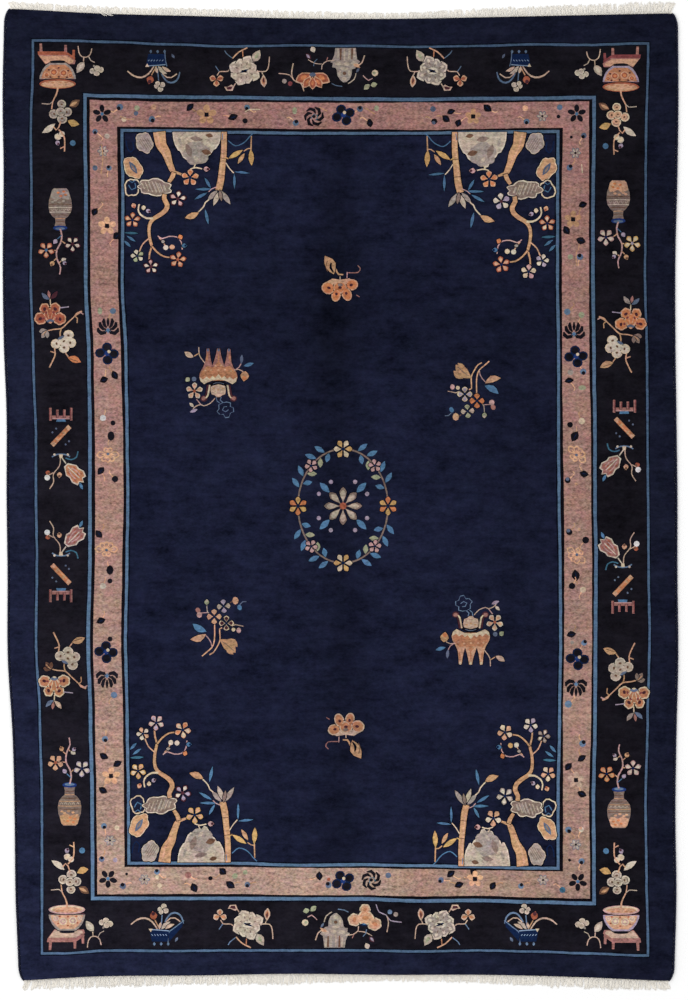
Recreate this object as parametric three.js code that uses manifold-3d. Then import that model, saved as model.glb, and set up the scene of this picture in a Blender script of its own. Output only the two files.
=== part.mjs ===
// A hand-knotted rug lying flat: the pile on its foundation, an overcast edge
// along each side, and a cotton web with its fringe at each end.
// Millimetres, +Z up, X across the width, Y along the length.

import * as THREE from 'three';
import Module from 'manifold-3d';

const wasm = await Module();
wasm.setup();

// Driving sizes
const halfLength = 1485;        // middle of the rug to the tip of the longest fringe strand
const halfWidth = 1015.5;       // middle of the rug to the outermost point of an overcast edge
const gap = 0.3;                // clearance between neighbouring pieces

const pile = {
  face: 12,                     // height of the pile's face above the floor
  shoulder: 3.5,                // rounding of the pile's upper rim
  corner: 7,                    // radius of the pile's corners in plan
  wave: 0.5,                    // how far the worn face rises and dips
  columns: 20,                  // cells across the face inside its rim
  rows: 28,                     // cells along the face inside its rim
};

const overcast = {
  width: 8,                     // width of the wrapped edge
  height: 8,                    // height of the wrapped edge
  nose: 7,                      // length over which each end is rounded off
  endShare: 0.4,                // share of the section left at the very end
};

const web = {
  width: 5,                     // woven strip between the pile and the loose ends
  thickness: 2.6,
  overhang: 4.6,                // how far the strip runs on past the pile's corners
};

const fringe = {
  strands: 146,                 // strands in one end
  root: 2,                      // how deep a strand is rooted in the web
  rootWidth: 8.4,
  middleWidth: 7.4,
  tipWidth: 4,
  topShare: 0.65,               // width of a strand's upper side against its floor side
  widthSpread: 0.12,            // share by which widths differ from strand to strand
  rootHeight: 2.2,
  middleHeight: 3,
  tipHeight: 1.3,
  sideShift: 1.1,               // how far a root strays along the web
  lean: 1.9,                    // how far a tip strays sideways
  lengthSpread: 0.22,           // share by which lengths differ from strand to strand
  shortest: 9,
};

// How far the long edges stand from the middle line, at even stations along the length
const longEdges = [
  { y: -1440, left: -967.5, right: 1003.5 },
  { y: -1200, left: -976.5, right: 1009.5 },
  { y: -960, left: -979.5, right: 1006.5 },
  { y: -720, left: -985.5, right: 1009.5 },
  { y: -480, left: -1000, right: 1015 },
  { y: -240, left: -1000.5, right: 1012.5 },
  { y: 0, left: -1003.5, right: 1012.5 },
  { y: 240, left: -1003.5, right: 1009.5 },
  { y: 480, left: -1012.5, right: 1006.5 },
  { y: 720, left: -1015, right: 1006.5 },
  { y: 960, left: -1012.5, right: 1012.5 },
  { y: 1200, left: -1015.5, right: 1015.5 },
  { y: 1440, left: -1011, right: 1014 },
];

// Where the pile ends and how far the fringe reaches beyond it, at even stations across
const endEdges = [
  { x: -1008, top: 1462.5, topFringe: 23, bottom: -1456, bottomFringe: 30 },
  { x: -720, top: 1448, topFringe: 22, bottom: -1441.5, bottomFringe: 35 },
  { x: -432, top: 1440.5, topFringe: 24, bottom: -1439, bottomFringe: 29 },
  { x: -144, top: 1433.5, topFringe: 24, bottom: -1434, bottomFringe: 33 },
  { x: 144, top: 1432, topFringe: 19, bottom: -1437, bottomFringe: 20 },
  { x: 432, top: 1437, topFringe: 27, bottom: -1437, bottomFringe: 27 },
  { x: 720, top: 1443, topFringe: 32, bottom: -1444, bottomFringe: 34 },
  { x: 1008, top: 1448.5, topFringe: 37, bottom: -1456, bottomFringe: 29 },
];

// Smooth value of a table's column between its even stations
function between(table, station, column, place) {
  const first = table[0][station];
  const spacing = table[1][station] - first;
  const last = table.length - 1;
  const t = THREE.MathUtils.clamp((place - first) / spacing, 0, last);
  const i = Math.min(Math.floor(t), last - 1);
  const f = t - i;
  const before = table[Math.max(i - 1, 0)][column];
  const low = table[i][column];
  const high = table[i + 1][column];
  const after = table[Math.min(i + 2, last)][column];
  const lowSlope = (high - before) / 2;
  const highSlope = (after - low) / 2;
  const ease = f * f * (3 - 2 * f);
  return low + (high - low) * ease + f * (1 - f) * ((1 - f) * lowSlope - f * highSlope);
}

const leftAt = (y) => Math.max(between(longEdges, 'y', 'left', y), -halfWidth);
const rightAt = (y) => Math.min(between(longEdges, 'y', 'right', y), halfWidth);
const topAt = (x) => between(endEdges, 'x', 'top', x);
const bottomAt = (x) => between(endEdges, 'x', 'bottom', x);

// Even random numbers from a seed, so that every build is the same
function seeded(seed) {
  let state = seed;
  return () => {
    state = (Math.imul(state, 1664525) + 1013904223) >>> 0;
    return state / 4294967296;
  };
}

const wool = new THREE.MeshStandardMaterial({ color: 0x16172e, roughness: 0.95, metalness: 0 });
const edgeWool = new THREE.MeshStandardMaterial({ color: 0x1a1c33, roughness: 0.9, metalness: 0 });
const cotton = new THREE.MeshStandardMaterial({ color: 0xe2dccb, roughness: 0.9, metalness: 0 });

function meshOf(name, positions, triangles, material) {
  const geometry = new THREE.BufferGeometry();
  geometry.setAttribute('position', new THREE.Float32BufferAttribute(positions, 3));
  geometry.setIndex(triangles);
  geometry.computeVertexNormals();
  const mesh = new THREE.Mesh(geometry, material);
  mesh.name = name;
  return mesh;
}

// A closed skin through rings of points, each ring counterclockwise when it is
// seen from the end of the row
function loft(rings) {
  const size = rings[0].length;
  const triangles = [];
  for (let r = 0; r < rings.length - 1; r += 1) {
    for (let k = 0; k < size; k += 1) {
      const a = r * size + k;
      const b = r * size + ((k + 1) % size);
      triangles.push(a, b, b + size, a, b + size, a + size);
    }
  }
  const end = (rings.length - 1) * size;
  for (let k = 1; k < size - 1; k += 1) {
    triangles.push(0, k + 1, k);
    triangles.push(end, end + k, end + k + 1);
  }
  return { positions: rings.flat(2), triangles };
}

// Distances from a rim at which the grid has lines, so that the shoulder is round
const rimLines = [0, 0.8, 0.55 * pile.shoulder, pile.shoulder, pile.corner];

// Grid lines across one side of the pile: close together at the rim, even inside it
function gridLines(half, cells) {
  const inner = 2 * (half - pile.corner);
  const lines = rimLines.map((d) => d - half);
  for (let i = 1; i < cells; i += 1) {
    lines.push(pile.corner - half + (inner * i) / cells);
  }
  return lines.concat(rimLines.map((d) => half - d).reverse());
}

const columnLines = gridLines(halfWidth, pile.columns);
const rowLines = gridLines(halfLength, pile.rows);

// Turns a point of the straight rectangle into one inside the pile's wavy outline
function place(x, y) {
  const inset = overcast.width + gap;
  const u = (x + halfWidth) / (2 * halfWidth);
  const v = (y + halfLength) / (2 * halfLength);
  let px = x;
  let py = y;
  for (let round = 0; round < 4; round += 1) {
    py = bottomAt(px) + v * (topAt(px) - bottomAt(px));
    const left = leftAt(py) + inset;
    px = left + u * (rightAt(py) - inset - left);
  }
  return [px, py];
}

// Draws a square corner of the rectangle in to a quarter circle
function roundCorner(x, y) {
  const dx = pile.corner - (halfWidth - Math.abs(x));
  const dy = pile.corner - (halfLength - Math.abs(y));
  if (dx <= 0 || dy <= 0) {
    return [x, y];
  }
  const pull = Math.max(dx, dy) / Math.hypot(dx, dy);
  const cx = halfWidth - pile.corner + dx * pull;
  const cy = halfLength - pile.corner + dy * pull;
  return [Math.sign(x) * cx, Math.sign(y) * cy];
}

// Height of the face: a shallow unevenness inside a round shoulder
function faceHeight(x, y, fromRim) {
  const broad = Math.sin(x / 210 + 0.6) * Math.sin(y / 260 - 0.4);
  const ripple = 0.6 * Math.sin(y / 95 + x / 400);
  const part = Math.min(fromRim / pile.shoulder, 1);
  const drop = pile.shoulder * (1 - Math.sqrt(1 - (1 - part) ** 2));
  return pile.face - drop + (pile.wave * part * (broad + ripple)) / 1.6;
}

// The pile with its foundation: a slab with a flat underside
function pileBody() {
  const positions = [];
  for (const y of rowLines) {
    for (const x of columnLines) {
      const fromRim = Math.min(halfWidth - Math.abs(x), halfLength - Math.abs(y));
      const [px, py] = place(...roundCorner(x, y));
      positions.push(px, py, faceHeight(px, py, fromRim));
    }
  }

  const across = columnLines.length;
  const along = rowLines.length;
  const at = (i, j) => j * across + i;
  const triangles = [];
  for (let j = 0; j < along - 1; j += 1) {
    for (let i = 0; i < across - 1; i += 1) {
      triangles.push(at(i, j), at(i + 1, j), at(i + 1, j + 1));
      triangles.push(at(i, j), at(i + 1, j + 1), at(i, j + 1));
    }
  }

  const rim = [];
  for (let i = 0; i < across - 1; i += 1) rim.push(at(i, 0));
  for (let j = 0; j < along - 1; j += 1) rim.push(at(across - 1, j));
  for (let i = across - 1; i > 0; i -= 1) rim.push(at(i, along - 1));
  for (let j = along - 1; j > 0; j -= 1) rim.push(at(0, j));

  const floor = positions.length / 3;
  const outline = rim.map((index) => new THREE.Vector2(positions[3 * index], positions[3 * index + 1]));
  outline.forEach((point) => positions.push(point.x, point.y, 0));
  rim.forEach((index, k) => {
    const next = (k + 1) % rim.length;
    triangles.push(index, floor + k, floor + next);
    triangles.push(index, floor + next, rim[next]);
  });
  for (const [a, b, c] of THREE.ShapeUtils.triangulateShape(outline, [])) {
    triangles.push(floor + a, floor + c, floor + b);
  }
  return meshOf('rug_body', positions, triangles, wool);
}

// Section of an overcast edge as shares of its width and height: along the floor
// from its outer side to the pile, then up and back over the top
const edgeSection = [
  { across: 0.14, up: 0 },
  { across: 0.98, up: 0 },
  { across: 1, up: 0.72 },
  { across: 0.78, up: 0.94 },
  { across: 0.5, up: 1 },
  { across: 0.22, up: 0.9 },
  { across: 0, up: 0.6 },
  { across: 0, up: 0.2 },
];

// The yarn-wrapped edge along one side; side is -1 for the left and 1 for the right
function overcastEdge(name, side) {
  const edgeAt = side < 0 ? leftAt : rightAt;
  const stations = rowLines.map((y) => place(side * halfWidth, y)[1]);
  const rings = stations.map((y) => {
    const toEnd = Math.min(y - stations[0], stations.at(-1) - y);
    const open = 1 - Math.min(toEnd / overcast.nose, 1);
    const share = overcast.endShare + (1 - overcast.endShare) * Math.sqrt(1 - open ** 2);
    const inner = edgeAt(y) - side * overcast.width;
    const ring = edgeSection.map(({ across, up }) => {
      return [inner + side * (1 - across) * overcast.width * share, y, up * overcast.height * share];
    });
    return side < 0 ? ring.reverse() : ring;
  });
  const { positions, triangles } = loft(rings);
  return meshOf(name, positions, triangles, edgeWool);
}

// A skin as a solid that can be joined with others
function solidOf({ positions, triangles }) {
  return new wasm.Manifold(new wasm.Mesh({
    numProp: 3,
    vertProperties: new Float32Array(positions),
    triVerts: new Uint32Array(triangles),
  }));
}

// The woven strip at one end; outward is 1 at the top end and -1 at the bottom
function webStrip(endAt, outward) {
  const pileEnds = columnLines.map((x) => place(x, outward * halfLength)[0]);
  const first = pileEnds[0] - web.overhang;
  const last = pileEnds.at(-1) + web.overhang;
  const rings = [first, ...pileEnds, last].map((x) => {
    const inner = endAt(x) + outward * gap;
    const outer = inner + outward * web.width;
    const low = Math.min(inner, outer);
    const high = Math.max(inner, outer);
    return [[x, low, 0], [x, high, 0], [x, high, web.thickness], [x, low, web.thickness]];
  });
  return { skin: loft(rings), first, last };
}

// One lock of warp ends lying on the floor, from its root in the web to its tip
function strand(x, rootY, outward, length, random) {
  const width = 1 + fringe.widthSpread * (2 * random() - 1);
  const lean = fringe.lean * (2 * random() - 1);
  const bow = 0.6 * fringe.lean * (2 * random() - 1);
  const tipY = Math.min(Math.abs(rootY) + fringe.root + length, halfLength);
  const ring = (share, wide, tall, shift) => {
    const y = outward * THREE.MathUtils.lerp(Math.abs(rootY), tipY, share);
    const half = (wide * width) / 2;
    const top = half * fringe.topShare;
    const centre = x + shift;
    const left = -outward * half;
    const points = [[centre - left, y, 0], [centre + left, y, 0]];
    points.push([centre - outward * top, y, tall], [centre + outward * top, y, tall]);
    return points;
  };
  return loft([
    ring(0, fringe.rootWidth, fringe.rootHeight, 0),
    ring(0.5, fringe.middleWidth, fringe.middleHeight, 0.5 * lean + bow),
    ring(1, fringe.tipWidth, fringe.tipHeight, lean),
  ]);
}

// A web strip with its row of strands, joined into one solid
function fringedEnd(name, outward, seed) {
  const random = seeded(seed);
  const endAt = outward > 0 ? topAt : bottomAt;
  const lengthColumn = outward > 0 ? 'topFringe' : 'bottomFringe';
  const { skin, first, last } = webStrip(endAt, outward);
  const pitch = (last - first) / fringe.strands;
  const pieces = [solidOf(skin)];
  for (let k = 0; k < fringe.strands; k += 1) {
    const x = first + (k + 0.5) * pitch + fringe.sideShift * (2 * random() - 1);
    const rootY = endAt(x) + outward * (gap + web.width - fringe.root);
    const reach = between(endEdges, 'x', lengthColumn, x) - web.width;
    const length = Math.max(reach * (1 + fringe.lengthSpread * (2 * random() - 1)), fringe.shortest);
    pieces.push(solidOf(strand(x, rootY, outward, length, random)));
  }
  const joined = wasm.Manifold.union(pieces).getMesh();
  return meshOf(name, Array.from(joined.vertProperties), Array.from(joined.triVerts), cotton);
}

const rug = new THREE.Group();
rug.add(pileBody());
rug.add(overcastEdge('overcast_left', -1));
rug.add(overcastEdge('overcast_right', 1));
rug.add(fringedEnd('fringe_top', 1, 11));
rug.add(fringedEnd('fringe_bottom', -1, 29));

export default rug;
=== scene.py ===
import math
import random

import bpy
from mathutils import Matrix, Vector
from mathutils.geometry import delaunay_2d_cdt


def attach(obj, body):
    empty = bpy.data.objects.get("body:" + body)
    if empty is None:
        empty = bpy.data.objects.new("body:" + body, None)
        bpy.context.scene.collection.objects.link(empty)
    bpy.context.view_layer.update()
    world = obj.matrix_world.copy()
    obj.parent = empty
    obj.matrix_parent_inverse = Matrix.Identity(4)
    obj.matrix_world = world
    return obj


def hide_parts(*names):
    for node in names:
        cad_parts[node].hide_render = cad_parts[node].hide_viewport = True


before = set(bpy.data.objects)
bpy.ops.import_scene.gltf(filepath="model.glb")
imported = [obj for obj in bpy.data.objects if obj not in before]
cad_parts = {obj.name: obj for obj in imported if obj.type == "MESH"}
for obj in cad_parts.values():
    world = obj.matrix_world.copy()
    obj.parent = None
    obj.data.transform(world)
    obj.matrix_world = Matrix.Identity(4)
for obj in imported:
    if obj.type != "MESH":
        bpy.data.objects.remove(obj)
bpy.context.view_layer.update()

knot = 0.003  # one knot of the design, in metres; the design counts knots from the rug's middle

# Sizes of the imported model, in millimetres
rugSize = {"halfLength": 1485.0, "halfWidth": 1015.5, "gap": 0.3, "face": 12.0, "shoulder": 3.5,
           "corner": 7.0, "wave": 0.5, "edgeWidth": 8.0, "edgeHeight": 8.0, "nose": 7.0, "endShare": 0.4,
           "webWidth": 5.0, "webThickness": 2.6, "webOverhang": 4.6,
           "cornerPull": 13.0, "cornerLong": 48.0}

longEdges = [
    (-1440, -967.5, 1003.5), (-1200, -976.5, 1009.5), (-960, -979.5, 1006.5), (-720, -985.5, 1009.5),
    (-480, -1000, 1015), (-240, -1000.5, 1012.5), (0, -1003.5, 1012.5), (240, -1003.5, 1009.5),
    (480, -1012.5, 1006.5), (720, -1015, 1006.5), (960, -1012.5, 1012.5), (1200, -1015.5, 1015.5),
    (1440, -1011, 1014),
]  # place along the length, left edge, right edge
endEdges = [
    (-1008, 1462.5, 23, -1456, 30), (-720, 1448, 22, -1441.5, 35), (-432, 1440.5, 24, -1439, 29),
    (-144, 1433.5, 24, -1434, 33), (144, 1432, 19, -1437, 20), (432, 1437, 27, -1437, 27),
    (720, 1443, 32, -1444, 34), (1008, 1448.5, 37, -1456, 29),
]  # place across, top end, its fringe, bottom end, its fringe


def between(table, column, place):
    first = table[0][0]
    last = len(table) - 1
    t = min(max((place - first) / (table[1][0] - first), 0), last)
    i = min(int(t), last - 1)
    f = t - i
    before = table[max(i - 1, 0)][column]
    low = table[i][column]
    high = table[i + 1][column]
    after = table[min(i + 2, last)][column]
    ease = f * f * (3 - 2 * f)
    bend = (1 - f) * (high - before) / 2 - f * (after - low) / 2
    return low + (high - low) * ease + f * (1 - f) * bend


def drawnIn(y, row):
    # How far the weaving pulls the long edges in at the corners
    toEnd = min(row[1] - y, y - row[3])
    f = 1 - min(max(toEnd / rugSize["cornerLong"], 0), 1)
    return rugSize["cornerPull"] * f ** 2.5


def leftAt(y):
    return max(between(longEdges, 1, y), -rugSize["halfWidth"]) + drawnIn(y, endEdges[0])


def rightAt(y):
    return min(between(longEdges, 2, y), rugSize["halfWidth"]) - drawnIn(y, endEdges[-1])


def topAt(x):
    return between(endEdges, 1, x)


def bottomAt(x):
    return between(endEdges, 3, x)


def placed(x, y):
    inset = rugSize["edgeWidth"] + rugSize["gap"]
    u = (x + rugSize["halfWidth"]) / (2 * rugSize["halfWidth"])
    v = (y + rugSize["halfLength"]) / (2 * rugSize["halfLength"])
    px = x
    py = y
    for _ in range(4):
        py = bottomAt(px) + v * (topAt(px) - bottomAt(px))
        left = leftAt(py) + inset
        px = left + u * (rightAt(py) - inset - left)
    return px, py


def cornerDrawn(x, y):
    dx = rugSize["corner"] - (rugSize["halfWidth"] - abs(x))
    dy = rugSize["corner"] - (rugSize["halfLength"] - abs(y))
    if dx <= 0 or dy <= 0:
        return x, y
    pull = max(dx, dy) / math.hypot(dx, dy)
    cx = rugSize["halfWidth"] - rugSize["corner"] + dx * pull
    cy = rugSize["halfLength"] - rugSize["corner"] + dy * pull
    return math.copysign(cx, x), math.copysign(cy, y)


def faceHeight(x, y, fromRim):
    broad = math.sin(x / 210 + 0.6) * math.sin(y / 260 - 0.4)
    ripple = 0.6 * math.sin(y / 95 + x / 400)
    part = min(fromRim / rugSize["shoulder"], 1)
    drop = rugSize["shoulder"] * (1 - math.sqrt(max(1 - (1 - part) ** 2, 0)))
    return rugSize["face"] - drop + rugSize["wave"] * part * (broad + ripple) / 1.6


# Yarns: sRGB colour, and how far single knots differ from it; "shade" is painted shade, laid as dark outlines and
# strokes
yarns = {
    "navy": ((26, 29, 49), 0.45), "outer": ((27, 30, 49), 0.45), "ink": ((26, 24, 31), 0.4),
    "black": ((19, 16, 22), 0.4), "shade": ((13, 16, 28), 0.3), "rose": ((155, 121, 114), 1.0),
    "steel": ((74, 95, 121), 0.6), "blue": ((84, 108, 135), 0.6), "azure": ((80, 116, 150), 0.7),
    "sky": ((136, 156, 180), 0.6), "royal": ((36, 56, 112), 0.5), "teal": ((62, 102, 124), 0.7),
    "deep": ((19, 33, 64), 0.5), "camel": ((180, 139, 106), 0.8), "apricot": ((192, 148, 121), 0.8),
    "orange": ((188, 118, 80), 0.8), "rust": ((152, 86, 66), 0.8), "red": ((122, 64, 66), 0.7),
    "maroon": ((72, 40, 48), 0.6), "pink": ((182, 144, 142), 0.8), "lilac": ((158, 143, 160), 0.8),
    "ivory": ((196, 181, 165), 0.7), "cream": ((200, 180, 154), 0.7), "grey": ((148, 135, 128), 0.8),
    "taupe": ((124, 106, 98), 0.8), "brown": ((102, 74, 60), 0.8), "sage": ((150, 152, 124), 0.8),
    "gold": ((188, 150, 98), 0.8), "white": ((210, 206, 206), 0.6), "dusty": ((152, 106, 100), 0.9),
    "slate": ((92, 102, 124), 0.7), "stone": ((172, 156, 141), 0.8),
    "clay": ((176, 120, 90), 0.8), "sand": ((186, 158, 140), 0.8),
    "fawn": ((216, 166, 132), 0.8), "mist": ((98, 118, 144), 0.7),
}
darkYarns = ("navy", "outer", "ink", "black", "shade")

patches = []  # (outline in knots, yarn), later ones lie over earlier ones
hand = random.Random(20)


class Spot:
    # A place on the rug with its own turn, mirroring and size
    def __init__(self, x, y, turn=0.0, flipX=1, flipY=1, size=1.0):
        self.x = x
        self.y = y
        c = math.cos(turn) * size
        s = math.sin(turn) * size
        self.rows = ((c * flipX, -s * flipY), (s * flipX, c * flipY))

    def at(self, x, y):
        (a, b), (c, d) = self.rows
        return self.x + a * x + b * y, self.y + c * x + d * y

    def within(self, x, y, turn=0.0, flipX=1, flipY=1, size=1.0):
        inner = Spot(*self.at(x, y), turn, flipX, flipY, size)
        (a, b), (c, d) = self.rows
        (e, f), (g, h) = inner.rows
        inner.rows = ((a * e + b * g, a * f + b * h), (c * e + d * g, c * f + d * h))
        return inner


def seenAt(px, py, **more):
    # A spot given by its place in the photo's 688 by 1000 frame, which shows one knot per step
    return Spot(px - 340.5, 496 - py, **more)


def lay(outline, yarn):
    # Adds a patch with its outline counterclockwise
    area = sum(x1 * y2 - x2 * y1 for (x1, y1), (x2, y2) in zip(outline, outline[1:] + outline[:1]))
    patches.append((outline if area > 0 else outline[::-1], yarn))


def paintGrooveShade(outline, width):
    # Painted shade: a dark outline around a motif, standing in for the shadow in a clipped groove
    area = sum(x1 * y2 - x2 * y1 for (x1, y1), (x2, y2) in zip(outline, outline[1:] + outline[:1]))
    sign = width if area > 0 else -width
    grown = []
    for i, (x, y) in enumerate(outline):
        x0, y0 = outline[i - 1]
        x2, y2 = outline[(i + 1) % len(outline)]
        before = max(math.hypot(x - x0, y - y0), 1e-6)
        after = max(math.hypot(x2 - x, y2 - y), 1e-6)
        nx = (y - y0) / before + (y2 - y) / after
        ny = -(x - x0) / before - (x2 - x) / after
        size = max(math.hypot(nx, ny), 0.5)
        grown.append((x + sign * nx / size, y + sign * ny / size))
    lay(grown, "shade")


def shape(s, points, yarn, loose=0.12, grooveShade=0.0):
    outline = []
    for x, y in points:
        gx, gy = s.at(x, y)
        outline.append((gx + hand.uniform(-loose, loose), gy + hand.uniform(-loose, loose)))
    # The width given here is that of the painted shade outline
    if grooveShade:
        paintGrooveShade(outline, grooveShade)
    lay(outline, yarn)


def disc(s, x, y, rx, ry, yarn, turn=0.0, sides=10, grooveShade=0.0):
    c = math.cos(turn)
    n = math.sin(turn)
    points = []
    for k in range(sides):
        a = 2 * math.pi * k / sides
        u = rx * math.cos(a)
        v = ry * math.sin(a)
        points.append((x + u * c - v * n, y + u * n + v * c))
    shape(s, points, yarn, 0.12, grooveShade)


def dot(s, x, y, r, yarn):
    disc(s, x, y, r, r, yarn, sides=8)


def leaf(s, x1, y1, x2, y2, width, yarn, bend=0.0, full=0.5, grooveShade=0.0):
    dx = x2 - x1
    dy = y2 - y1
    length = math.hypot(dx, dy)
    nx = -dy / length
    ny = dx / length
    points = []
    for side in (1, -1):
        steps = (0.0, 0.2, 0.45, 0.7, 0.88) if side == 1 else (1.0, 0.88, 0.7, 0.45, 0.2)
        for t in steps:
            peak = math.sin(math.pi * t ** (math.log(0.5) / math.log(full)))
            off = side * width / 2 * peak + bend * math.sin(math.pi * t)
            points.append((x1 + dx * t + nx * off, y1 + dy * t + ny * off))
    shape(s, points, yarn, 0.12, grooveShade)


def smoothPath(points, step=3.0):
    out = [points[0]]
    for i in range(len(points) - 1):
        p0 = points[max(i - 1, 0)]
        p1 = points[i]
        p2 = points[i + 1]
        p3 = points[min(i + 2, len(points) - 1)]
        count = max(1, round(math.dist(p1[:2], p2[:2]) / step))
        for k in range(1, count + 1):
            t = k / count
            if count == 1:
                out.append(p2)
                continue
            out.append(tuple(0.5 * (2 * b + (c - a) * t + (2 * a - 5 * b + 4 * c - d) * t * t
                                    + (3 * b - a - 3 * c + d) * t ** 3)
                             for a, b, c, d in zip(p0, p1, p2, p3)))
    return out


def stem(s, points, yarn, width=1.6, step=3.2, grooveShade=0.0):
    # Points are (x, y) or (x, y, width); thin ones are woven a little thinner still
    full = [tuple(p) if len(p) == 3 else (p[0], p[1], width) for p in points]
    full = [(x, y, w * 0.82 if w < 2.3 else w) for x, y, w in full]
    path = smoothPath(full, step)
    path = [p for i, p in enumerate(path) if i == 0 or math.dist(p[:2], path[i - 1][:2]) > 0.05]
    sides = ([], [])
    for i, (x, y, w) in enumerate(path):
        x1, y1, _ = path[max(i - 1, 0)]
        x2, y2, _ = path[min(i + 1, len(path) - 1)]
        length = math.hypot(x2 - x1, y2 - y1)
        nx = -(y2 - y1) / length / 2
        ny = (x2 - x1) / length / 2
        sides[0].append((x + nx * w, y + ny * w))
        sides[1].append((x - nx * w, y - ny * w))
    shape(s, sides[0] + sides[1][::-1], yarn, 0.08, grooveShade)


def lumps(s, x, y, rx, ry, count, depth, yarn, turn=0.0, seed=1, edge=None, grow=1.0):
    # A rounded rock or cloud with uneven lobes
    own = random.Random(seed)
    lobes = [(own.uniform(0.75, 1.25), own.uniform(0.7, 1.15)) for _ in range(count)]
    total = sum(w for w, _ in lobes)
    c = math.cos(turn)
    n = math.sin(turn)
    for yarnNow, extra in ((edge, grow), (yarn, 0.0)):
        if yarnNow is None:
            continue
        points = []
        start = 0.0
        for wide, tall in lobes:
            span = 2 * math.pi * wide / total
            for k in range(4):
                f = k / 4
                a = start + span * f
                r = 1 - depth + depth * tall * math.sin(math.pi * (f + 0.06))
                u = (rx * r + extra) * math.cos(a)
                v = (ry * r + extra) * math.sin(a)
                points.append((x + u * c - v * n, y + u * n + v * c))
            start += span
        shape(s, points, yarnNow, 0.12, 0.9 if extra and edge else 0.0)


# Border lines as measured in the photo, one row or column of the frame each
leftLines = [
    (60, 33.0, 85, 89.5, 117, 122), (130, 30.8, 85, 89.8, 117, 122), (200, 31.5, 86, 90.5, 118, 123),
    (280, 30.8, 85.7, 90.3, 118, 122.2), (360, 33.5, 89, 93.8, 121, 126), (440, 36, 90, 95, 123, 127.2),
    (500, 36, 90, 95.2, 123.5, 128), (560, 37, 90, 95, 122.3, 127), (640, 36, 88.2, 93, 121, 125.5),
    (720, 40, 90.5, 95, 123, 127.2), (800, 42, 92.2, 96.5, 124, 128.5), (880, 42, 92.6, 97.3, 124.5, 129),
    (940, 42, 92.8, 97.4, 124.6, 129),
]  # row, thin line, wide line, rose band from and to, inner line
rightLines = [
    (60, 648.0, 594.2, 589.4, 563, 558.0), (130, 646.0, 594, 589, 563, 558.0),
    (200, 645.5, 593, 589, 561.5, 557.5),
    (280, 645.0, 593, 589, 562, 557.5), (360, 647.0, 594, 589.3, 562.2, 558.5),
    (440, 647.5, 595, 591, 563, 558.5),
    (500, 648.0, 595, 591, 564, 559.0), (560, 648.5, 596, 592, 564.3, 560.0),
    (640, 649.5, 595.5, 592, 564.2, 560.5),
    (720, 647.5, 595, 591, 563, 559.5), (800, 645.5, 593.5, 589, 563, 558.0),
    (880, 646.5, 594, 590, 563, 558.0),
    (940, 647.8, 594.4, 590.2, 563, 558.0),
]
topLines = [
    (60, 40.5, 94, 98.5, 126, 129.8), (110, 42.0, 96, 100.5, 126.5, 130.3), (170, 44.5, 97, 102, 127, 130.8),
    (230, 46.5, 97.5, 102, 128, 132.3), (300, 45.5, 98.5, 102.5, 129, 133.3),
    (360, 46.0, 99, 103, 129, 133.3),
    (420, 47.0, 99.5, 102.5, 130, 133.3), (480, 46.0, 98.5, 103, 129, 132.3),
    (530, 44.5, 98.5, 102, 128, 131.8),
    (590, 45.0, 97.5, 101.3, 127.6, 131.3), (640, 43.5, 97, 101, 127.5, 131.3),
]  # column, then the same lines down the frame
bottomLines = [
    (60, 953.4, 898.9, 895, 867.5, 863.6), (110, 950.4, 898.4, 894.3, 867, 863.1),
    (170, 950.9, 898.4, 894, 867, 863.1),
    (230, 950.4, 898.4, 894, 867, 863.1), (300, 950.4, 898.9, 895, 868, 865.1),
    (360, 950.4, 898.9, 895, 868, 864.6),
    (420, 951.4, 900.9, 896.3, 869, 865.6), (480, 950.4, 900.4, 895.7, 870, 866.6),
    (530, 951.4, 901.9, 897.3, 871, 868.1),
    (590, 953.4, 903.4, 898.6, 871.5, 868.6), (640, 955.4, 903.9, 899, 872, 869.1),
]


def along(table, column, place):
    rows = table
    if place <= rows[0][0]:
        return rows[0][column]
    for low, high in zip(rows, rows[1:]):
        if place <= high[0]:
            f = (place - low[0]) / (high[0] - low[0])
            f = f * f * (3 - 2 * f)
            return low[column] + (high[column] - low[column]) * f
    return rows[-1][column]


def borderRing(column, inward, yarn):
    # The closed outline of one border line, drawn as wavy as the weaving left it
    corners = []
    for side, end in ((leftLines, topLines), (leftLines, bottomLines), (rightLines, bottomLines),
                      (rightLines, topLines)):
        across = 1 if side is leftLines else -1
        down = 1 if end is topLines else -1
        x = 340.5
        y = 496.0
        for _ in range(4):
            x = along(side, column, y) + across * inward
            y = along(end, column, x) + down * inward
        corners.append((x, y))
    sides = [(leftLines, 1, 0, 1), (bottomLines, -1, 1, 2), (rightLines, -1, 2, 3), (topLines, 1, 3, 0)]
    points = []
    for table, sign, start, stop in sides:
        upright = table in (leftLines, rightLines)
        which = 1 if upright else 0
        first = corners[start][which]
        last = corners[stop][which]
        count = round(abs(last - first) / 7)
        for k in range(count):
            place = first + (last - first) * k / count
            value = along(table, column, place) + sign * inward
            if k:
                value += hand.uniform(-0.22, 0.22)
            x, y = (value, place) if upright else (place, value)
            points.append((x - 340.5, 496 - y))
    lay(points, yarn)


def borders():
    # The "shade" rings are painted shade: dark outlines beside the lines, standing in for the shadow of clipped
    # grooves
    borderRing(1, -2.3, "shade")
    borderRing(1, -1.2, "steel")
    borderRing(1, 1.1, "shade")
    borderRing(1, 2.1, "ink")
    borderRing(2, -2.8, "shade")
    borderRing(2, -1.7, "blue")
    borderRing(2, 1.7, "black")
    borderRing(3, 0.0, "rose")
    borderRing(4, 0.0, "black")
    borderRing(5, -1.5, "blue")
    borderRing(5, 1.4, "shade")
    borderRing(5, 2.8, "navy")


borders()
print("borders drawn", len(patches))


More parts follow.
